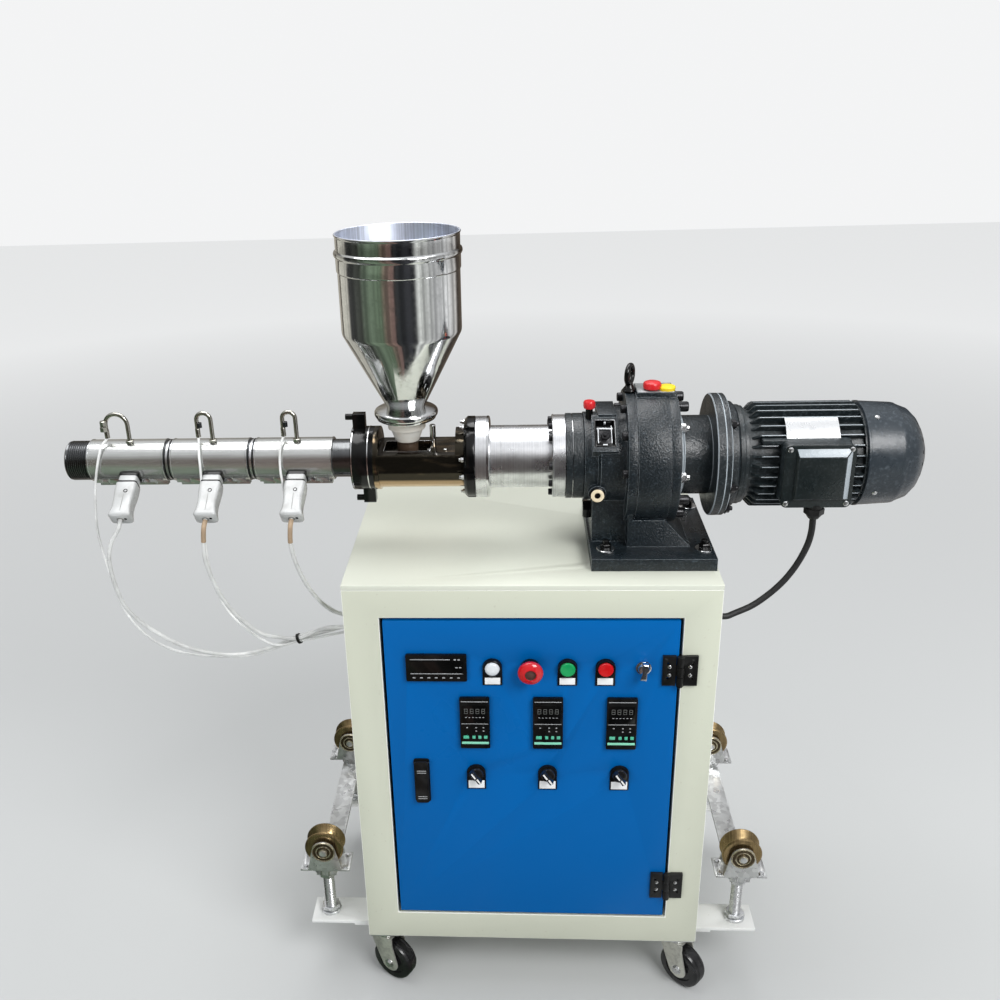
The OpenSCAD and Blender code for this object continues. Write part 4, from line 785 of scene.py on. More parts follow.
# Red breather with a fluted rim, yellow plug, small red cap on the neck
turned(shape, [(0.4, 0), (0.4, 8), (2, 8), (2.2, 13), (3.5, 14.2), (9.5, 14.2), (12, 12.8), (13.6, 8.5), (14, 0)],
       place(190, 160, drum_top), up, 12)
turned(shape, [(0.5, 0), (0.5, 12.5), (5, 13), (6.4, 12), (7, 8), (7.2, 0)], place(212.5, 158, drum_top), up, 40, 1)
turned(shape, [(-12, 0), (-12, 6), (4, 5.6), (7, 6.2)], place(94, 155, 1042), up, 32, 2)
turned(shape, [(6, 0), (6, 8.5), (9, 9.5), (15, 9.5), (17.5, 8), (18, 0)], place(94, 155, 1042), up, 12)
# Lifting eye: a shouldered stem that swells into a forged ring
eye = place(156, axis_y, 1069)
turned(shape, [(0.3, 0), (0.3, 10.5), (3, 11), (6, 9), (9, 6.5), (15, 5.2)], eye, up, 32, 2)
ring = bmesh.new()
loops = []
for k in range(40):
    swing = 2 * math.pi * k / 40
    thick = 4 + 0.7 * max(0.0, -math.cos(swing))
    out = Vector((math.sin(swing), 0, math.cos(swing)))
    loops.append([ring.verts.new((out * (14 + thick * 0.9 * math.cos(a)) - forward * (thick * math.sin(a))) / 1000)
                  for a in (2 * math.pi * j / 14 for j in range(14))])
for a, b in zip(loops, loops[1:] + loops[:1]):
    for j in range(14):
        ring.faces.new((a[j], a[(j + 1) % 14], b[(j + 1) % 14], b[j]))
blend_in(shape, ring, 2, Matrix.Translation(eye + mm(0, 0, 28)) @ Matrix.Rotation(math.radians(66), 4, "Z"))
# Drain plug boss at the column's left, and the oil gauge: dark collar, cream ring, dark glass
turned(shape, [(-0.3, 0), (-0.3, 15), (6, 16), (11, 15.5), (13, 13.5), (13, 0)], place(99, 150, 880), left, 6, 2)
gauge = place(105, 95.5, 927)
turned(shape, [(0.3, 0), (0.3, 12), (5, 12), (5.6, 11.2), (5.6, 0)], gauge, forward, 40, 2)
turned(shape, [(5, 0), (5, 10.4), (7.2, 10.2), (7.8, 9), (7.7, 6.2), (6.4, 5.2)], gauge, forward, 40, 3)
turned(shape, [(5.5, 0), (5.5, 5.1), (6.8, 4.4), (7.4, 2.4), (7.5, 0)], gauge, forward, 32, 4)
mesh_piece("gear_fittings", shape, [red_cap, yellow_cap, gloss_black, gauge_cream, window_glass], "machine",
           "fittings_paint", "gearbox_fittings", angle=36)

# The sight window in the sloping pad: a frame, a cover plate with a dark nut in its middle,
# and thin light lines on the plate's rim and at the pocket's edge, which are painted highlights
slope = Matrix.Translation(place(116, axis_y, axis_z)) @ Matrix.Rotation(math.radians(45), 4, "X")
bare_and_highlight_paint = coat("bare edge and painted highlight", bright_metal, (0.62, 0.64, 0.66), 0.7, 0.3, metallic=0.4)
shape = bmesh.new()
for slot, edge, blocks in (
        (0, 0.5, (((-16.2, -23.2, 72.2), (-13.8, 23.2, 81.2)), ((13.8, -23.2, 72.2), (16.2, 23.2, 81.2)),
                  ((-14.5, 20.6, 72.2), (14.5, 23.2, 81.2)), ((-14.5, -23.2, 72.2), (14.5, -20.6, 81.2)),
                  ((-14.5, -21.2, 72.2), (14.5, 21.2, 73.5)))),
        (2, 0.3, (((-11.2, -15, 73.3), (-9.4, 10, 76.4)), ((9.4, -15, 73.3), (10.8, 15, 76.4)),
                  ((-12.5, 8.6, 73.3), (12, 10.8, 76.6)), ((-15, 21.6, 80.8), (15, 22.2, 81.5)),
                  ((15, -20, 80.8), (15.6, 21.6, 81.5)), ((-1.6, 17.6, 73.3), (1.6, 20.4, 79)),
                  ((-3.4, -20.4, 73.3), (3.4, -16.8, 77.5)))),
        (1, 0.4, (((-9.4, -15, 73.2), (9.4, 8.6, 74.8)),))):
    for low, high in blocks:
        low, high = mm(*low), mm(*high)
        blend_in(shape, cube(high - low, edge, 2, (low + high) / 2), slot, slope)
blend_in(shape, hex_head(13, 5.5, 8.2, 1.2, 3), 1, slope @ Matrix.Translation(mm(0, -4, 74.5)))
mesh_piece("sight_window", shape, [gloss_black, black_bolt, bare_and_highlight_paint], "machine", "gear_paint", angle=34)


# Screws round the drum's two faces, foot bolts with bright washers
def outward(degrees):
    """The way out from the machine's axis; 0 is up, 90 to the front."""
    return Vector((0, -math.sin(math.radians(degrees)), math.cos(math.radians(degrees))))


def round_axis(x, radius, angles, way=None):
    """Places on a circle round the machine's axis, each with its own way out if no other is given."""
    return [(axis_at + mm(x, 0, 0) + outward(a) * (radius / 1000), way or outward(a)) for a in angles]


sow("drum_screws_left", socket_head(6.8, 8.5),
    round_axis(149, 92.5, (20, 52, 88, 150, -20, -52, -88, -150, 180), left), black_bolt, "machine")
sow("drum_studs_right", hex_head(13.5, 7.5, 9, 1.5, 4.2), round_axis(227.5, 93, (92, -92, 45, -45), right),
    zinc_bolt, "machine")
sow("drum_screws_right", socket_head(8, 16.5), round_axis(227.5, 92, (17, 119, 152, -17, -119, -152), right),
    black_bolt, "machine")
feet = [(x, y) for x in (119.5, 272) for y in (85, 255)]
sow("foot_washers", lathed([(-0.3, 0), (-0.3, 14.5), (1.6, 14.5), (2.1, 13.8), (2.1, 0)], 40),
    [(place(x, y, 838), up) for x, y in feet], chrome, "machine")
sow("foot_bolts", hex_head(15, 8.5, 0, 1.5, 5), [(place(x, y, 839.8), up) for x, y in feet], gloss_black, "machine",
    0.4)
grey_pad = coat("joint plate", bright_metal, (0.42, 0.44, 0.45), 0.7, 0.35, metallic=0.7)
shape = bmesh.new()
block(shape, (166.5, 145.5, 1074), (222.5, 194.5, 1075.2), 0.4)
mesh_piece("drum_top_plate", shape, [grey_pad], "machine", "gear_paint")

# Motor: a cast frame with thin cooling ribs all round, between a turned flange and a pressed
# fan cowl, in dark paint with a painted highlight on its edges; a bare nameplate and a lidded terminal box.
shape = bmesh.new()
turned(shape, [(282.2, 0), (282.2, 95), (283.6, 96.8), (294.4, 96.8), (295, 96.2), (295.5, 96.2), (296.1, 96.6),
               (303, 96.6), (304.4, 95), (304.6, 86), (316, 83.5), (319, 80), (319.8, 0)], axis_at, right, 96)
# Three thin rings of the flange take the painted edge highlight
for face in shape.faces:
    along = (face.calc_center_median().x - axis_at.x) * 1000
    if 282.3 < along < 283.5 or 294.5 < along < 296.0 or 303.1 < along < 304.3:
        face.material_index = 1
mesh_piece("motor_end_shield", shape, [flange_iron, edge_highlight_paint], "machine", "gear_paint", "motor_flange")
motor_iron = coat("motor casting", cast, (0.010, 0.0145, 0.0165), (0.13, 0.155, 0.170), 260, 0.25, 0.28)
lid_iron = coat("box lid paint", cast, (0.0070, 0.0110, 0.0115), (0.035, 0.045, 0.050), 300, 0.20, 0.24)
shape = bmesh.new()
turned(shape, [(320.2, 0), (320.2, 78.5), (327, 78.5), (328, 77.2), (332, 76.8), (333.5, 70.5), (503.5, 70.5),
               (504, 77.5), (507, 77.5), (507, 0)], axis_at, right, 96)
mesh_piece("motor_core", shape, [motor_iron], "machine", "gear_paint", "motor_body")


def rib(x0, x1):
    """One rib between two places on the axis, its top along Z, its ends sloped."""
    part = bmesh.new()
    outline = [(x0, 66), (x0 + 14, 81.7), (x0 + 16, 82.5), (x1 - 4, 82.5), (x1, 80), (x1, 66)]
    sides = [[part.verts.new(mm(x, s * (2.025 if r < 70 else 1.5), r)) for x, r in outline] for s in (-1, 1)]
    part.faces.new(sides[0])
    part.faces.new(sides[1][::-1])
    for k in range(6):
        part.faces.new((sides[0][k], sides[0][(k + 1) % 6], sides[1][(k + 1) % 6], sides[1][k]))
    bmesh.ops.recalc_face_normals(part, faces=part.faces)
    bmesh.ops.bevel(part, geom=[e for e in part.edges if min(v.co.z for v in e.verts) > 0.07], offset=0.0004,
                    segments=1, affect="EDGES")
    return part


ribs = [-174.375 + 11.25 * k for k in range(32)]
clear = [a for a in ribs if not 56 < a < 124]
behind_box = [a for a in ribs if 56 < a < 124]
rib_rows = (("", (333.5, 504.5), (350, 500), clear), ("_left", (333.5, 376), (350, 374.5), behind_box),
            ("_right", (483, 504.5), (485, 500), behind_box))
for ending, span, _, angles in rib_rows:
    sow("motor_ribs" + ending, rib(*span), round_axis(0, 0, angles), motor_iron, "machine")
# A bright line along each rib's crest: a painted highlight
for ending, _, (start, stop), angles in rib_rows:
    line = cube(mm(stop - start, 1.1, 0.6), 0, 0, mm((start + stop) / 2, 0, 82.4))
    sow("rib_lines" + ending, line, round_axis(0, 0, angles), edge_highlight_paint, "machine")
sow("flange_screws", hex_head(12, 6.5, 8.5, 1.2, 3.5), round_axis(304, 90, (40, 105, 140, -40, -105, -140), right),
    black_bolt, "machine")

# Bright sheet plate, bent round the ribs, with four drive rivets
bare_plate = coat("bare plate", bright_metal, (0.74, 0.75, 0.76), 0.45, 0.24, metallic=0.85)
shape = bmesh.new()
bend = [29.5 + 25 * k / 8 for k in range(9)]
rows = [[[shape.verts.new(where) for where, _ in round_axis(x, radius, bend)] for x in (386.5, 465.5)]
        for radius in (82.8, 83.6)]
for k in range(8):
    for row, flip in ((rows[0], 1), (rows[1], -1)):
        shape.faces.new([row[0][k], row[0][k + 1], row[1][k + 1], row[1][k]][::flip])
    for x in (0, 1):
        shape.faces.new([rows[0][x][k], rows[1][x][k], rows[1][x][k + 1], rows[0][x][k + 1]][::1 - 2 * x])
for k in (0, 8):
    shape.faces.new([rows[0][0][k], rows[0][1][k], rows[1][1][k], rows[1][0][k]])
for x in (390.5, 461.5):
    for a in (33, 51):
        turned(shape, [(83.4, 0), (83.4, 1.6), (84, 1.4), (84.3, 0.6), (84.3, 0)], axis_at + mm(x, 0, 0), outward(a),
               16)
mesh_piece("nameplate_bare", shape, [bare_plate], "machine", "chrome_plate")


# Terminal box: a cast base on a ledge of the frame, a gasket line, a lid that rises in the middle
def soft_block(shape, low, high, corner, edge, slot):
    """A block with large round corners seen from the front and small round edges."""
    low, high = place(*low), place(*high)
    part = cube(high - low)
    bmesh.ops.bevel(part, geom=[e for e in part.edges if abs((e.verts[0].co - e.verts[1].co).y) > 0.001],
                    offset=corner / 1000, segments=6, profile=0.5, affect="EDGES")
    front = [e for e in part.edges if all(v.co.y < 0 for v in e.verts)]
    bmesh.ops.bevel(part, geom=front, offset=edge / 1000, segments=2, profile=0.5, affect="EDGES")
    bmesh.ops.translate(part, vec=(low + high) / 2, verts=part.verts)
    blend_in(shape, part, slot)


shape = bmesh.new()
block(shape, (350, 93, 1006), (480, 118, 1012.5), 1.2)
soft_block(shape, (378, 72.2, 915), (480.5, 104, 1013), 9, 1, 0)
soft_block(shape, (377.5, 70, 914.5), (481, 71.6, 1013.5), 9.2, 0.6, 1)
soft_block(shape, (377, 67.2, 914), (481, 70.1, 1014), 9.5, 1.2, 2)
# The lid's raised middle: wide slopes above and at the right, steep ones at the other two sides
raised = bmesh.new()
base, crown = ([raised.verts.new(place(x, y, z)) for x, z in ((x0, z0), (x1, z0), (x1, z1), (x0, z1))]
               for x0, x1, z0, z1, y in ((392.5, 475.5, 926.5, 1009, 67.6), (396.5, 465.5, 930, 996.5, 60.4)))
raised.faces.new(crown).material_index = 2
# The top and right slopes take the lighter edge colour: a painted highlight where light falls on them
for k in range(4):
    face = raised.faces.new((base[k], base[(k + 1) % 4], crown[(k + 1) % 4], crown[k]))
    face.material_index = 3 if k in (1, 2) else 2
raised.faces.new(base[::-1]).material_index = 2
bmesh.ops.bevel(raised, geom=list(raised.edges), offset=0.0011, segments=2, profile=0.5, affect="EDGES")
blend_in(shape, raised, None)
mesh_piece("terminal_box_lidded", shape, [motor_iron, bare_and_highlight_paint, lid_iron, edge_highlight_paint], "machine", "gear_paint",
           "terminal_box", angle=40)
sow("lid_screws", domed_head(4.2, 2.2), [(place(x, 67.2, z), forward) for x in (384.5, 473.5) for z in (921, 1007)],
    zinc_bolt, "machine")

# Gland under the box: a six-sided nut and a tapered rubber nose round the cable
shape = bmesh.new()
gland = place(431, 78, 913.7)
turned(shape, [(-3, 0), (-3, 12), (3, 12), (3.4, 10.5), (4, 10.5)], gland, down, 32)
turned(shape, [(3.6, 0), (3.6, 15), (4.6, 15.3), (13, 15), (14, 14), (14, 0)], gland, down, 6)
turned(shape, [(13.5, 0), (13.5, 11.2), (16, 10.8), (20.5, 7.8), (21.5, 6.4), (21.6, 5.2)], gland, down, 32)
turned(shape, [(-1, 0), (-1, 12), (4, 11.8), (6, 10), (6.2, 5.4)], place(290, 62, 731), right, 32)
block(shape, (-295.5, 87, 667), (-289.5, 123, 719), 2.2)
mesh_piece("cable_entries", shape, [black_plastic], "machine", "black_steel", "cable_glands", angle=36)

# Fan cowl: deep-drawn sheet with a rolled rim, its end marked with rings of round holes drawn as dark discs of painted
# shade
cowl_paint = coat("cowl paint", cast, (0.0200, 0.0270, 0.0340), (0.10, 0.12, 0.14), 200, 0.14, 0.22)
shape = bmesh.new()
turned(shape, [(507.4, 0), (507.4, 81.2), (508, 82.5), (510.8, 82.5), (511.4, 81.9), (560, 79.2), (564, 78.5),
               (566.5, 76.8), (570, 75.5), (582, 70.8), (593, 60), (600.5, 47), (608, 30), (613, 14), (614.8, 0)],
       axis_at, right, 96)
mesh_piece("motor_fan_cowl", shape, [cowl_paint], "machine", "gear_paint", "fan_cowl", angle=40)
hole_places = []
for x, radius, lean, count in ((596.8, 53.5, 0.50, 18), (604.2, 38.5, 0.40, 14), (610, 24, 0.30, 10)):
    for where, out in round_axis(x, radius, [360 * (k + 0.5) / count for k in range(count)]):
        hole_places.append((where, right * math.cos(lean) + out * math.sin(lean)))
hole_shade_paint = coat("painted hole shade", None, base_color=(0.003, 0.003, 0.003, 1), roughness=0.8)
sow("cowl_holes", lathed([(-0.6, 0), (-0.6, 3), (0.2, 3), (0.25, 0)], 16), hole_places, hole_shade_paint, "machine")
sow("cowl_screws", domed_head(4, 2.2), round_axis(525, 81.2, (29, 119, 209, 299)), zinc_bolt, "machine")

# Drive end: bored and turned steel parts in line with the screw - two seal rings, an adapter,
# a plain sleeve and a thrust flange - left bare, with fine turning marks round them.
turning, colour, rings, rough, soil = effect(
    "turned metal", Colour=(0.5, 0.5, 0.5), Rings=500.0, Rough=0.22, Soil=0.3)
where = object_place(turning)
groove = line_noise(maths("MULTIPLY", axis_of(where, "X"), rings), 1, 3, 0.6)
grime = maths("MULTIPLY", fade(noise(where, 22, 5, 0.6), 0.45, 0.72), soil)
give(turning, base_color=gain(colour, maths("SUBTRACT", fade(groove, 0.3, 0.7, 0.78, 1.12), grime)),
     roughness=maths("ADD", maths("MULTIPLY", grime, 0.4), rough), normal=bump(groove, 0.20, 0.0003))

turned_steel = coat("turned steel", turning, (0.82, 0.83, 0.85), 900, 0.27, 0.30, metallic=1.0)
bright_ring = coat("polished steel", turning, (0.80, 0.81, 0.82), 1200, 0.12, 0.15, metallic=1.0)
dark_steel = coat("blued steel", turning, (0.055, 0.058, 0.062), 900, 0.20, 0.2, metallic=0.9)
shape = bmesh.new()
for slot, outline in (
        (2, [(57.6, 0), (57.6, 65.5), (58.6, 68), (66.8, 68), (67.6, 67.2), (67.6, 65)]),
        (2, [(68.4, 65), (68.4, 67.2), (69.2, 68), (84.5, 68), (85.8, 66.8), (85.8, 0)]),
        (1, [(67.2, 0), (67.2, 66.4), (68.8, 66.4), (68.8, 0)]),
        (0, [(36.6, 0), (36.6, 65.5), (37.5, 66.5), (39, 66.5), (39.4, 66), (56.4, 66), (57.4, 65.2), (57.4, 0)]),
        (0, [(-84.9, 0), (-84.9, 63.5), (-83.5, 65), (-66.5, 65), (-66, 64.5), (-66, 0)]),
        (1, [(-66.2, 0), (-66.2, 65.5), (-63.2, 65.5), (-62.1, 64), (-61.2, 60), (-61.2, 0)])):
    turned(shape, outline, axis_at, right, 96, slot)
mesh_piece("drive_rings", shape, [turned_steel, bright_ring, flange_iron], "machine", "chrome_plate", "drive_flanges",
           angle=30)
shape = bmesh.new()
turned(shape, [(-60.8, 0), (-60.8, 50), (-44, 50), (-43.6, 49.6), (-42.8, 49.6), (-42.4, 50), (36.2, 50), (36.2, 0)],
       axis_at, right, 96)
mesh_piece("drive_sleeve", shape, [turned_steel], "machine", "chrome_plate", "spacer_sleeve", angle=30)
sow("adapter_screws", socket_head(5.2, 6),
    round_axis(36.6, 58, (17, 41, 87, 118, -17, -41, -87, -118, 150, -150), left), black_bolt, "machine")

# Ring nut that takes the thrust: black steel, six spanner slots, small screws in its left face
softened("ring_nut", "thrust_nut", 0.9, gloss_black, "machine", "black_steel")
sow("nut_screws", hex_head(7.2, 4.5, 0, 0, 2.6), round_axis(-101.8, 56, (15, 75, 105, 165, -15, -75, -105, -165), left),
    zinc_bolt, "machine")

# Feed section: heat-browned steel with a milled flat and a pocket where the granules drop in
browned, dark, bronze, rough = effect("browned steel", Dark=(0.05, 0.03, 0.02), Bronze=(0.35, 0.22, 0.1), Rough=0.15)
where = object_place(browned)
cloud = noise(wire("Mapping", "Vector", {"Vector": where, "Scale": (9, 40, 40)}), 1, 4, 0.5, 0.4)
# Below a set height the steel turns bronze: a painted reflection band, mixed with cloudy patches of heat tint
heat_tint_and_sheen = maths("MAXIMUM", fade(axis_of(where, "Z"), 0.9410, 0.9365), fade(cloud, 0.55, 0.75, 0.0, 0.5))
give(browned, base_color=blend(heat_tint_and_sheen, dark, bronze),
     roughness=maths("ADD", fade(noise(where, 320, 2), 0.4, 0.7, 0.0, 0.10), rough), normal=bump(cloud, 0.10, 0.001))
brown_steel = coat("browned feed steel", browned, (0.042, 0.036, 0.026), (0.58, 0.41, 0.24), 0.11, metallic=0.9)
softened("feed_section", "feed_housing", 0.9, brown_steel, "machine", "gear_paint")
shape = bmesh.new()
for x in (-158, -132):
    turned(shape, [(-0.4, 0), (-0.4, 3), (2.2, 3), (2.8, 2.2), (2.8, 0)], place(x, 148.5, 983), up, 20)
turned(shape, [(-0.4, 0), (-0.4, 4.8), (35, 4.8), (36, 4), (36, 0)], place(-153, 170, 983), up, 24)
# The pocket's fresh milled corners shine as a thin line
for low, high in (((-232.5, 143.6, 982.2), (-155.5, 145.4, 983.8)), ((-231.5, 194, 982.6), (-156.5, 195, 983.4)),
                  ((-231.8, 145, 982.6), (-230.8, 195, 983.4)), ((-157.2, 145, 982.2), (-155.6, 195, 983.8)),
                  ((-231.5, 145, 972.2), (-156.5, 145.8, 973))):
    block(shape, low, high, 0.2)
mesh_piece("feed_top_pins", shape, [bright_ring], "machine", "chrome_plate")

# Throat: a cream ceramic collar that keeps the heat from the hopper, on a dark neck
cream = coat("cream collar", moulded, (0.56, 0.55, 0.51), (0.45, 0.34, 0.22), 0.35, 0.36, 0.1)
neck_brown = coat("dark neck", moulded, (0.045, 0.028, 0.018), (0.12, 0.08, 0.05), 0.3, 0.30, 0.1)
shape = bmesh.new()
for slot, outline in (
        (1, [(0.2, 13.1), (0.2, 16.8), (19, 17), (20.5, 18.5), (23.5, 19)]),
        (0, [(23, 15), (23, 19.2), (43, 26.5), (43.2, 29.6), (44, 30), (58, 30), (58.8, 29.2), (58.8, 13.1)]),
        (1, [(58.8, 13.1), (0.2, 13.1)])):
    turned(shape, outline, place(-194, 170, 972), up, 64, slot, False)
mesh_piece("throat_ring", shape, [cream, neck_brown], "machine", "fittings_paint", "throat_collar", angle=40)

# Clamp that joins barrel and feed section: a black cast ring in two halves with cranked lugs
softened("barrel_clamp", "clamp_ring", 2.2, gloss_black, "machine", "black_steel")
shape = bmesh.new()
for x in (-280, -254.5):
    turned(shape, [(x - 1, 50.8), (x - 0.7, 51.9), (x + 0.7, 51.9), (x + 1, 50.8)], axis_at, right, 96, 0, False)
mesh_piece("clamp_ring_lines", shape, [bright_ring], "machine", "chrome_plate")


# Barrel: a nitrided steel tube whose threaded nose stands free at the left end
def hollow(shape, outline, origin, along, steps, slot=0):
    """Adds a turned body with a bore from the outline's last point back to its first."""
    turned(shape, outline, origin, along, steps, slot, False)
    turned(shape, [outline[-1], outline[0]], origin, along, steps, slot, False)


brushed, colour, lines, rough, stain, stained = effect(
    "brushed band", Colour=(0.6, 0.6, 0.6), Lines=260.0, Rough=0.25, Stain=(0.3, 0.25, 0.2), Stained=0.3)
where = object_place(brushed)
hairs = noise(wire("Mapping", "Vector", {"Vector": where, "Scale": (0.03, 1.0, 1.0)}), lines, 4, 0.7)
patch = maths("MULTIPLY", fade(noise(where, 11, 5, 0.62), 0.50, 0.72), stained)
give(brushed, base_color=blend(patch, gain(colour, fade(hairs, 0.3, 0.7, 0.86, 1.08)), stain),
     roughness=maths("ADD", maths("MULTIPLY", patch, 0.25), rough), normal=bump(hairs, 0.10, 0.0003))

barrel_steel = coat("barrel steel", turning, (0.16, 0.165, 0.17), 700, 0.18, 0.25, metallic=1.0)
screw_steel = coat("screw steel", turning, (0.45, 0.45, 0.46), 600, 0.24, 0.2, metallic=1.0)
shape = bmesh.new()
thread = [(-753.8, 12.7), (-753.8, 30), (-752, 31.8)]
for k in range(10):
    thread += [(-750 + 3.4 * k, 30.9), (-749 + 3.4 * k, 32.5), (-747.8 + 3.4 * k, 32.5)]
hollow(shape, thread + [(-716.8, 31.2), (-716.8, 31), (-246.6, 31), (-246.6, 12.7)], axis_at, right, 72)
mesh_piece("barrel_tube", shape, [barrel_steel], "machine", "chrome_plate", "barrel", angle=30)
softened("extruder_screw", "screw_core", 0.4, screw_steel)

# Heater bands: mica heaters in rolled stainless sheet, drawn tight by a clamp strip below,
# with a double ring of dark and light steel in each gap between them
band_sheet = coat("heater band sheet", brushed, (0.62, 0.63, 0.62), 300, 0.22, (0.24, 0.24, 0.20), 0.14, metallic=0.9)
band_x = (-652.5, -515, -377.5)
for k, x in enumerate(band_x, 1):
    shape = bmesh.new()
    a, b = x - 63.5, x + 63.5
    hollow(shape, [(a, 31.3), (a, 34), (a + 0.6, 34.8), (a + 2.6, 34.8), (a + 3, 34.4), (b - 3, 34.4), (b - 2.6, 34.8),
                   (b - 0.6, 34.8), (b, 34), (b, 31.3)], axis_at, right, 96)
    for end in (a + 1.6, b - 1.6):
        turned(shape, [(end - 1, 34.6), (end - 0.6, 35), (end + 0.6, 35), (end + 1, 34.6)], axis_at, right, 96, 1,
               False)
    # Clamp strip with its two bolts, in front of and below the band
    for step in range(5):
        start = a + 6 + step * 23.2
        block(shape, (start, 144, 933.6), (start + 21.2, 147, 940.2), 0.5, step % 2)
    for y in (165, 171.2):
        block(shape, (a + 6, y, 921.5), (b - 6, y + 3.8, 933), 0.6)
    for bolt in (a + 25, b - 25):
        turned(shape, [(-0.6, 0), (-0.6, 3.4), (13, 3.4), (14, 2.6), (14, 0)], place(bolt, 176.5, 926.8), forward, 6, 1)
    mesh_piece(f"heater_band_{k}", shape, [band_sheet, bright_ring], "machine", "chrome_plate", "heater_bands",
               angle=34)
shape = bmesh.new()
for x in (-583.75, -446.25):
    for middle, half, radius, slot in ((x - 3.4, 1.3, 33.8, 0), (x + 3.4, 1.3, 33.8, 0), (x, 1.8, 32.6, 1)):
        turned(shape, [(middle - half, 30), (middle - half, radius), (middle + half, radius), (middle + half, 30)],
               axis_at, right, 72, slot)
mesh_piece("gap_rings", shape, [dark_steel, turned_steel], "machine", "chrome_plate", angle=30)

# Heater plugs: glazed ceramic shells in two halves on a black neck, a screw in each,
# the cable leaving through the oval end face
ceramic = coat("glazed ceramic", moulded, (0.44, 0.45, 0.45), (0.22, 0.22, 0.21), 0.5, 0.20, 0.0, coat_weight=0.5,
               coat_roughness=0.08)
seam_grey = coat("seam shade", moulded, (0.20, 0.20, 0.19), (0.3, 0.3, 0.28), 0.3, 0.45, 0.0)


def oval(shape, stand, levels, slot, power=7, steps=40):
    """A lofted body of rounded-oblong rings: height above the axis, half width, half depth."""
    rings = []
    for height, half_x, half_y in levels:
        swings = [(math.cos(2 * math.pi * j / steps), math.sin(2 * math.pi * j / steps)) for j in range(steps)]
        rings.append([shape.verts.new(stand @ mm(half_x * math.copysign(abs(c) ** (2 / power), c),
                                                 half_y * math.copysign(abs(s) ** (2 / power), s), height))
                      for c, s in swings])
    for low, high in zip(rings, rings[1:]):
        for j in range(steps):
            shape.faces.new((low[j], low[(j + 1) % steps], high[(j + 1) % steps], high[j])).material_index = slot
    shape.faces.new(rings[0][::-1]).material_index = slot
    shape.faces.new(rings[-1]).material_index = slot


for k, x in enumerate(plug_x, 1):
    shape = bmesh.new()
    stand = Matrix.Translation(place(x, axis_y, axis_z)) @ Matrix.Rotation(math.pi - plug_pitch, 4, "X")
    turn = stand.to_3x3()
    oval(shape, stand, [(30.5, 6, 6), (34.5, 6, 6)], 1, 2)
    oval(shape, stand, [(34.3, 15.5, 12), (34.6, 16.2, 12.6), (38.5, 16.2, 12.6), (38.8, 15.5, 12)], 1)
    oval(shape, stand, [(38.4, 14, 11), (39, 14.8, 11.7), (49, 14.8, 11.7), (49.4, 14, 11)], 0)
    oval(shape, stand, [(49, 15.2, 12.2), (49.3, 16, 12.9), (52.2, 16, 12.9), (52.5, 15.2, 12.2)], 1)
    oval(shape, stand, [(52, 15.5, 12.2), (52.6, 16.8, 13.3), (64, 17, 13.4), (76, 16.2, 13.1), (88, 15, 12.6),
                        (98, 15.2, 12.6), (106, 16.6, 13), (111, 18.1, 13.3), (112.8, 18.3, 13.3), (115, 17.2, 12.8),
                        (116.6, 15, 11.2)], 0)
    for side in (-1, 1):
        blend_in(shape, cube(mm(0.7, 0.4, 56)), 2, stand @ Matrix.Translation(mm(1, side * 12.9, 83)))
    turned(shape, [(12.6, 0), (12.6, 3.2), (13.6, 3.4), (13.8, 2.4), (13, 2), (13, 0)], stand @ mm(3, 0, 70),
           turn @ -forward, 20, 1)
    turned(shape, [(115.5, 0), (115.5, 5.8), (117.2, 5.6), (117.4, 3.6)], stand @ mm(0, 0, 0), turn @ up, 24, 2)
    turned(shape, [(116, 0), (116, 2.4), (116.8, 2.4), (116.8, 0)], stand @ mm(9, 2, 0), turn @ up, 16, 1)
    mesh_piece(f"heater_plug_{k}", shape, [ceramic, gloss_black, seam_grey], "machine", "fittings_paint",
               "heater_plugs", angle=42)

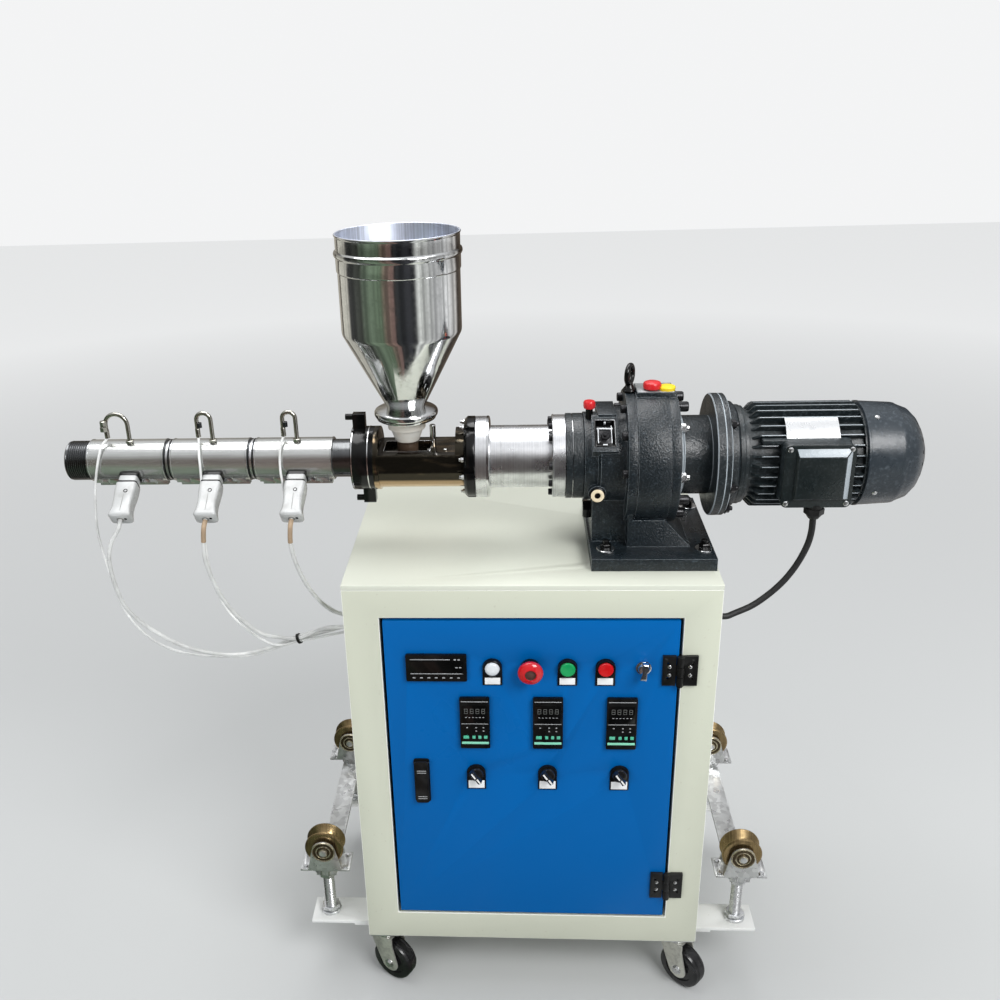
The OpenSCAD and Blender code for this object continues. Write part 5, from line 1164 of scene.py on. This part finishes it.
# Thermocouples: nickel tubes bent to a U over the band, a nut at the foot, the lead's sleeve
# at the free leg
nickel = coat("nickel tube", bright_metal, (0.52, 0.51, 0.46), 0.8, 0.12, metallic=1.0)
for k, (x, bend) in enumerate(zip(band_x, (18, 11.5, 10.5)), 1):
    shape = bmesh.new()
    foot = place(x + 6, hook_y, axis_z)
    free_leg = foot + mm(-2 * bend, 0, 0)
    path = [foot + mm(0, 0, h) for h in (30, 40, 50, 82 - bend)]
    path += [foot + mm(bend * (math.cos(a) - 1), 0, 82 - bend + bend * math.sin(a))
             for a in (math.pi * j / 14 for j in range(1, 14))]
    path += [free_leg + mm(0, 0, h) for h in (82 - bend, 52, 42.5)]
    rings = []
    for j, middle in enumerate(path):
        along = (path[min(j + 1, len(path) - 1)] - path[max(j - 1, 0)]).normalized()
        across = along.cross(-forward)
        rings.append([shape.verts.new(middle - forward * (0.0035 * math.cos(t)) + across * (0.0035 * math.sin(t)))
                      for t in (2 * math.pi * i / 18 for i in range(18))])
    for low, high in zip(rings, rings[1:]):
        for i in range(18):
            shape.faces.new((low[i], low[(i + 1) % 18], high[(i + 1) % 18], high[i]))
    shape.faces.new(rings[0][::-1])
    shape.faces.new(rings[-1])
    turned(shape, [(34, 0), (34, 6.8), (37.2, 6.8), (37.8, 6), (37.8, 0)], foot, up, 6)
    turned(shape, [(42, 2.8), (42.1, 4), (56, 4), (56.8, 3.4)], free_leg, up, 20)
    # Clamp nuts on the free leg: bright ones at the outside of the first, a dark one inside the others
    outer_nuts = ((58, 3, 6.2, 0), (67.2, 2.6, 5.6, 0))
    for rise, reach, wide, slot in outer_nuts if k == 1 else ((62.5, -4.6, 4.4, 1),):
        turned(shape, [(-4, 0), (-4, wide), (3.6, wide), (4.4, wide - 1.2), (4.4, 0)],
               free_leg + mm(-reach, -2, rise), up, 6, slot)
    mesh_piece(f"thermocouple_{k}", shape, [nickel, dark_steel], "machine", "chrome_plate", "thermocouples", angle=40)

# Hopper: spun and polished stainless sheet - a rolled foot, a cone, a cylinder with a raised
# bead and a thin rolled rim - mirror bright outside, dull and bluish inside.
mirror_steel = coat("mirror stainless", bright_metal, (0.70, 0.71, 0.71), 0.25, 0.045, metallic=1.0)
inner_steel = coat("dull stainless", turning, (0.62, 0.66, 0.76), 300, 0.42, 0.2, metallic=0.9)
shape = bmesh.new()
outer = [(1031.4, 14), (1031.4, 45.5), (1032.2, 47), (1034, 47.8), (1035.2, 48), (1036, 48.8), (1038, 50.2),
         (1040.5, 50.7), (1043, 50.5), (1045.2, 49.4), (1046.4, 47.8), (1048.2, 44), (1051.2, 33), (1052, 30.7),
         (1053.4, 31), (1060, 34.8), (1100, 55.6), (1140, 76.3), (1169, 91.2), (1171.2, 92), (1173.5, 92.4),
         (1176, 92.6), (1200, 92.6), (1264.8, 92.6), (1265.6, 93.2), (1266.4, 93.8), (1267.6, 94), (1286, 94.1),
         (1287.2, 94.6), (1288.4, 95.8), (1290.5, 96.7), (1293, 96.8), (1295.2, 96), (1296.6, 94.4), (1297.6, 93.6),
         (1299, 93.4), (1316.5, 93.5), (1317.4, 94), (1318.6, 94.7), (1319.8, 94.8), (1320.6, 94.2)]
inner = [(1320.6, 94.2), (1321, 93.2), (1320.4, 91.8), (1319, 91.2), (1173.5, 91), (1170, 90), (1054, 29), (1047, 25),
         (1046, 14.2), (1031.4, 14)]
for slot, outline in enumerate((outer, inner)):
    turned(shape, outline, place(-194, 170, 0), up, 144, slot, False)
bmesh.ops.remove_doubles(shape, verts=shape.verts, dist=0.00001)
mesh_piece("hopper_shell", shape, [mirror_steel, inner_steel], "machine", "chrome_plate", "hopper", angle=28)

# Black tie round the bundle of cables
shape = bmesh.new()
hollow(shape, [(-2.4, 7.8), (-2.4, 8.8), (-2, 9), (2, 9), (2.4, 8.8), (2.4, 7.8)], place(-391, 117.5, 656.5),
       Vector((math.sin(math.radians(68)), 0, math.cos(math.radians(68)))), 40)
mesh_piece("cable_tie", shape, [black_plastic], "machine", "black_steel", "cable_tie")

# Outriggers: white plates under the cabinet's ends, M20 rods that raise the roller beams,
# galvanised flat bars and pressed brackets with open pins
white_plate = coat("white plate paint", paint, (0.74, 0.75, 0.74), (0.40, 0.38, 0.33), 0.5, 0.34, 0.08)
softened("outrigger_plates", "outrigger_arms", 1.2, white_plate, "machine", "top_paint")
galvanised, colour, flower, rough = effect("galvanised steel", Colour=(0.6, 0.6, 0.6), Flower=130.0, Rough=0.34)
cells = wire("TexVoronoi", "Color", {"Vector": object_place(galvanised), "Scale": flower})
grey = wire("RGBToBW", "Val", {"Color": cells})
give(galvanised, base_color=gain(colour, fade(grey, 0.0, 1.0, 0.72, 1.12)),
     roughness=maths("ADD", fade(grey, 0.0, 1.0, -0.06, 0.12), rough))
zinc_sheet = coat("galvanised bar", galvanised, (0.66, 0.67, 0.67), 120, 0.30, metallic=0.85)
softened("roller_beams", "roller_frames", 1, zinc_sheet)

jack_places = [(s * 366, y) for s in (-1, 1) for y in (52, 373)]
shape = bmesh.new()
for x, y in jack_places:
    foot = place(x, y, 0)
    thread = [(114.2, 0), (114.2, 9.2)]
    for k in range(38):
        thread += [(115 + 3 * k, 8.8), (115.8 + 3 * k, 9.9), (116.6 + 3 * k, 9.9)]
    turned(shape, thread + [(229.5, 8.8), (229.8, 0)], foot, up, 28)
    turned(shape, [(120.2, 10), (120.2, 17.4), (120.8, 18), (125.4, 18), (126, 17.2), (126, 10)], foot, up)
    for base in (126, 204):
        turned(shape, [(base, 11), (base, 15), (base + 1.2, 17), (base + 6.8, 17), (base + 8, 15), (base + 8, 11)],
               foot, up, 6)
mesh_piece("jack_rods", shape, [zinc_bolt], "machine", "chrome_plate", "jack_screws")
shape = bmesh.new()
for x, y in jack_places:
    for sx in (-36, 36):
        for sy in (-15, 15):
            turned(shape, [(232.8, 0), (232.8, 4.4), (235, 4.4), (235.8, 3.6), (235.8, 0)], place(x + sx, y + sy, 0),
                   up, 6)
    # Pads with a scalloped rim
    for k in range(10):
        a = 2 * math.pi * k / 10
        turned(shape, [(219.2, 0), (219.2, 3), (229, 3), (229, 0)],
               place(x + 21 * math.cos(a), y + 21 * math.sin(a), 0), up, 10)
mesh_piece("bracket_fixings", shape, [zinc_bolt], "machine", "chrome_plate")


def both_ways(half):
    """A turned outline from half of it, the other half mirrored at zero."""
    return half + [(-far, radius) for far, radius in reversed(half)]


# Rollers: turned steel with a V groove, yellow zinc, a hub ring on each side
roller_z = 272.4
yellow_zinc = coat("yellow zinc", turning, (0.36, 0.26, 0.13), 400, 0.22, 0.5, metallic=0.95)
groove_side = [(15, 6.1), (15, 10.5), (14.2, 11), (14.2, 15.5), (14.9, 16), (14.9, 31.8), (13.2, 34.2), (11.2, 34.5),
               (9.8, 33), (4, 24.5), (1.5, 22.7)]
for k, (x, y) in enumerate(((-366, 52), (366, 52), (-366, 373), (366, 373)), 1):
    shape = bmesh.new()
    hollow(shape, both_ways(groove_side), place(x, y, roller_z), forward, 72)
    bmesh.ops.remove_doubles(shape, verts=shape.verts, dist=0.00001)
    mesh_piece(f"roller_wheel_{k}", shape, [yellow_zinc], f"roller_{k}", "chrome_plate", f"roller_{k}", angle=34)

# Each bracket's round cheek is pressed in rings: a bright rim, a brown dish, a pale ring, the pin's head
dish_brown = coat("stained dish", turning, (0.060, 0.042, 0.020), 400, 0.30, 0.5, metallic=0.6)
pale_zinc = coat("pale zinc", turning, (0.66, 0.60, 0.44), 400, 0.20, 0.2, metallic=0.9)
shape = bmesh.new()
for x, y in jack_places:
    for side in (-1, 1):
        for slot, outline in ((0, [(22.8, 18.3), (24, 18.6), (24.7, 19.7), (24, 20.7), (22.8, 21)]),
                              (1, [(22.8, 0), (23.3, 0), (23.3, 19), (22.8, 19)]),
                              (0, [(23.1, 11.2), (24.2, 11.5), (24.8, 12.4), (24.2, 13.4), (23.1, 13.7)]),
                              (0, [(23.1, 0), (23.1, 7.8), (26.2, 7.8), (27, 6.6), (27, 0)])):
            turned(shape, outline, place(x, y, roller_z), Vector((0, side, 0)), 48, slot)
mesh_piece("cheek_rings", shape, [pale_zinc, dish_brown], "machine", "chrome_plate", angle=30)

# Casters: pressed forks on a swivel ring, black rubber tyres, bright axle bolts
fork_paint = coat("fork plating", bright_metal, (0.62, 0.62, 0.56), 0.7, 0.28, metallic=0.7)
tyre = coat("tyre rubber", moulded, (0.006, 0.006, 0.007), 0.08, 0.25, 0.20, 0.2)
softened("caster_plates", "swivel_plates", 1.2, zinc_sheet)
tyre_side = [(14, 4.1), (14, 12), (13.2, 12.4), (11.2, 12.6), (11.2, 25.5), (13.6, 26.2), (14, 33), (13.6, 35.2),
             (12, 38.5), (8.8, 39.8), (7, 40), (6, 39.2), (5, 40)]
casters = ((-262, 28, -30), (262, 28, -42), (-262, 397, -20), (262, 397, -38))
for k, (x, y, heading) in enumerate(casters, 1):
    # The forks' rounded edges take a pale finish: a painted highlight
    softened(f"caster_fork_{k}", f"fork_{k}", 0.8, fork_paint, f"caster_{k}", "chrome_plate", bare_and_highlight_paint)
    way = Matrix.Translation(place(x, y, 0)) @ Matrix.Rotation(math.radians(heading), 4, "Z")
    side = (way.to_3x3() @ forward).normalized()
    hub = way @ mm(16, 0, 40)
    shape = bmesh.new()
    for s in (-1, 1):
        turned(shape, [(18.6, 0), (18.6, 8.8), (20, 8.8), (20, 0)], hub, side * s, 32)
        turned(shape, [(19.8, 0), (19.8, 7), (22.8, 7), (23.6, 6), (23.6, 0)], hub, side * s, 6)
    turned(shape, [(97.5, 12), (97.5, 20.5), (101.5, 20.5), (105.2, 17), (105.6, 12)], place(x, y, 0), up)
    mesh_piece(f"axle_bolt_{k}", shape, [zinc_bolt], f"caster_{k}", "chrome_plate")
    shape = bmesh.new()
    hollow(shape, both_ways(tyre_side), hub, side, 72)
    bmesh.ops.remove_doubles(shape, verts=shape.verts, dist=0.00001)
    mesh_piece(f"tyre_{k}", shape, [tyre], f"caster_wheel_{k}", "black_steel", f"caster_wheel_{k}", angle=34)
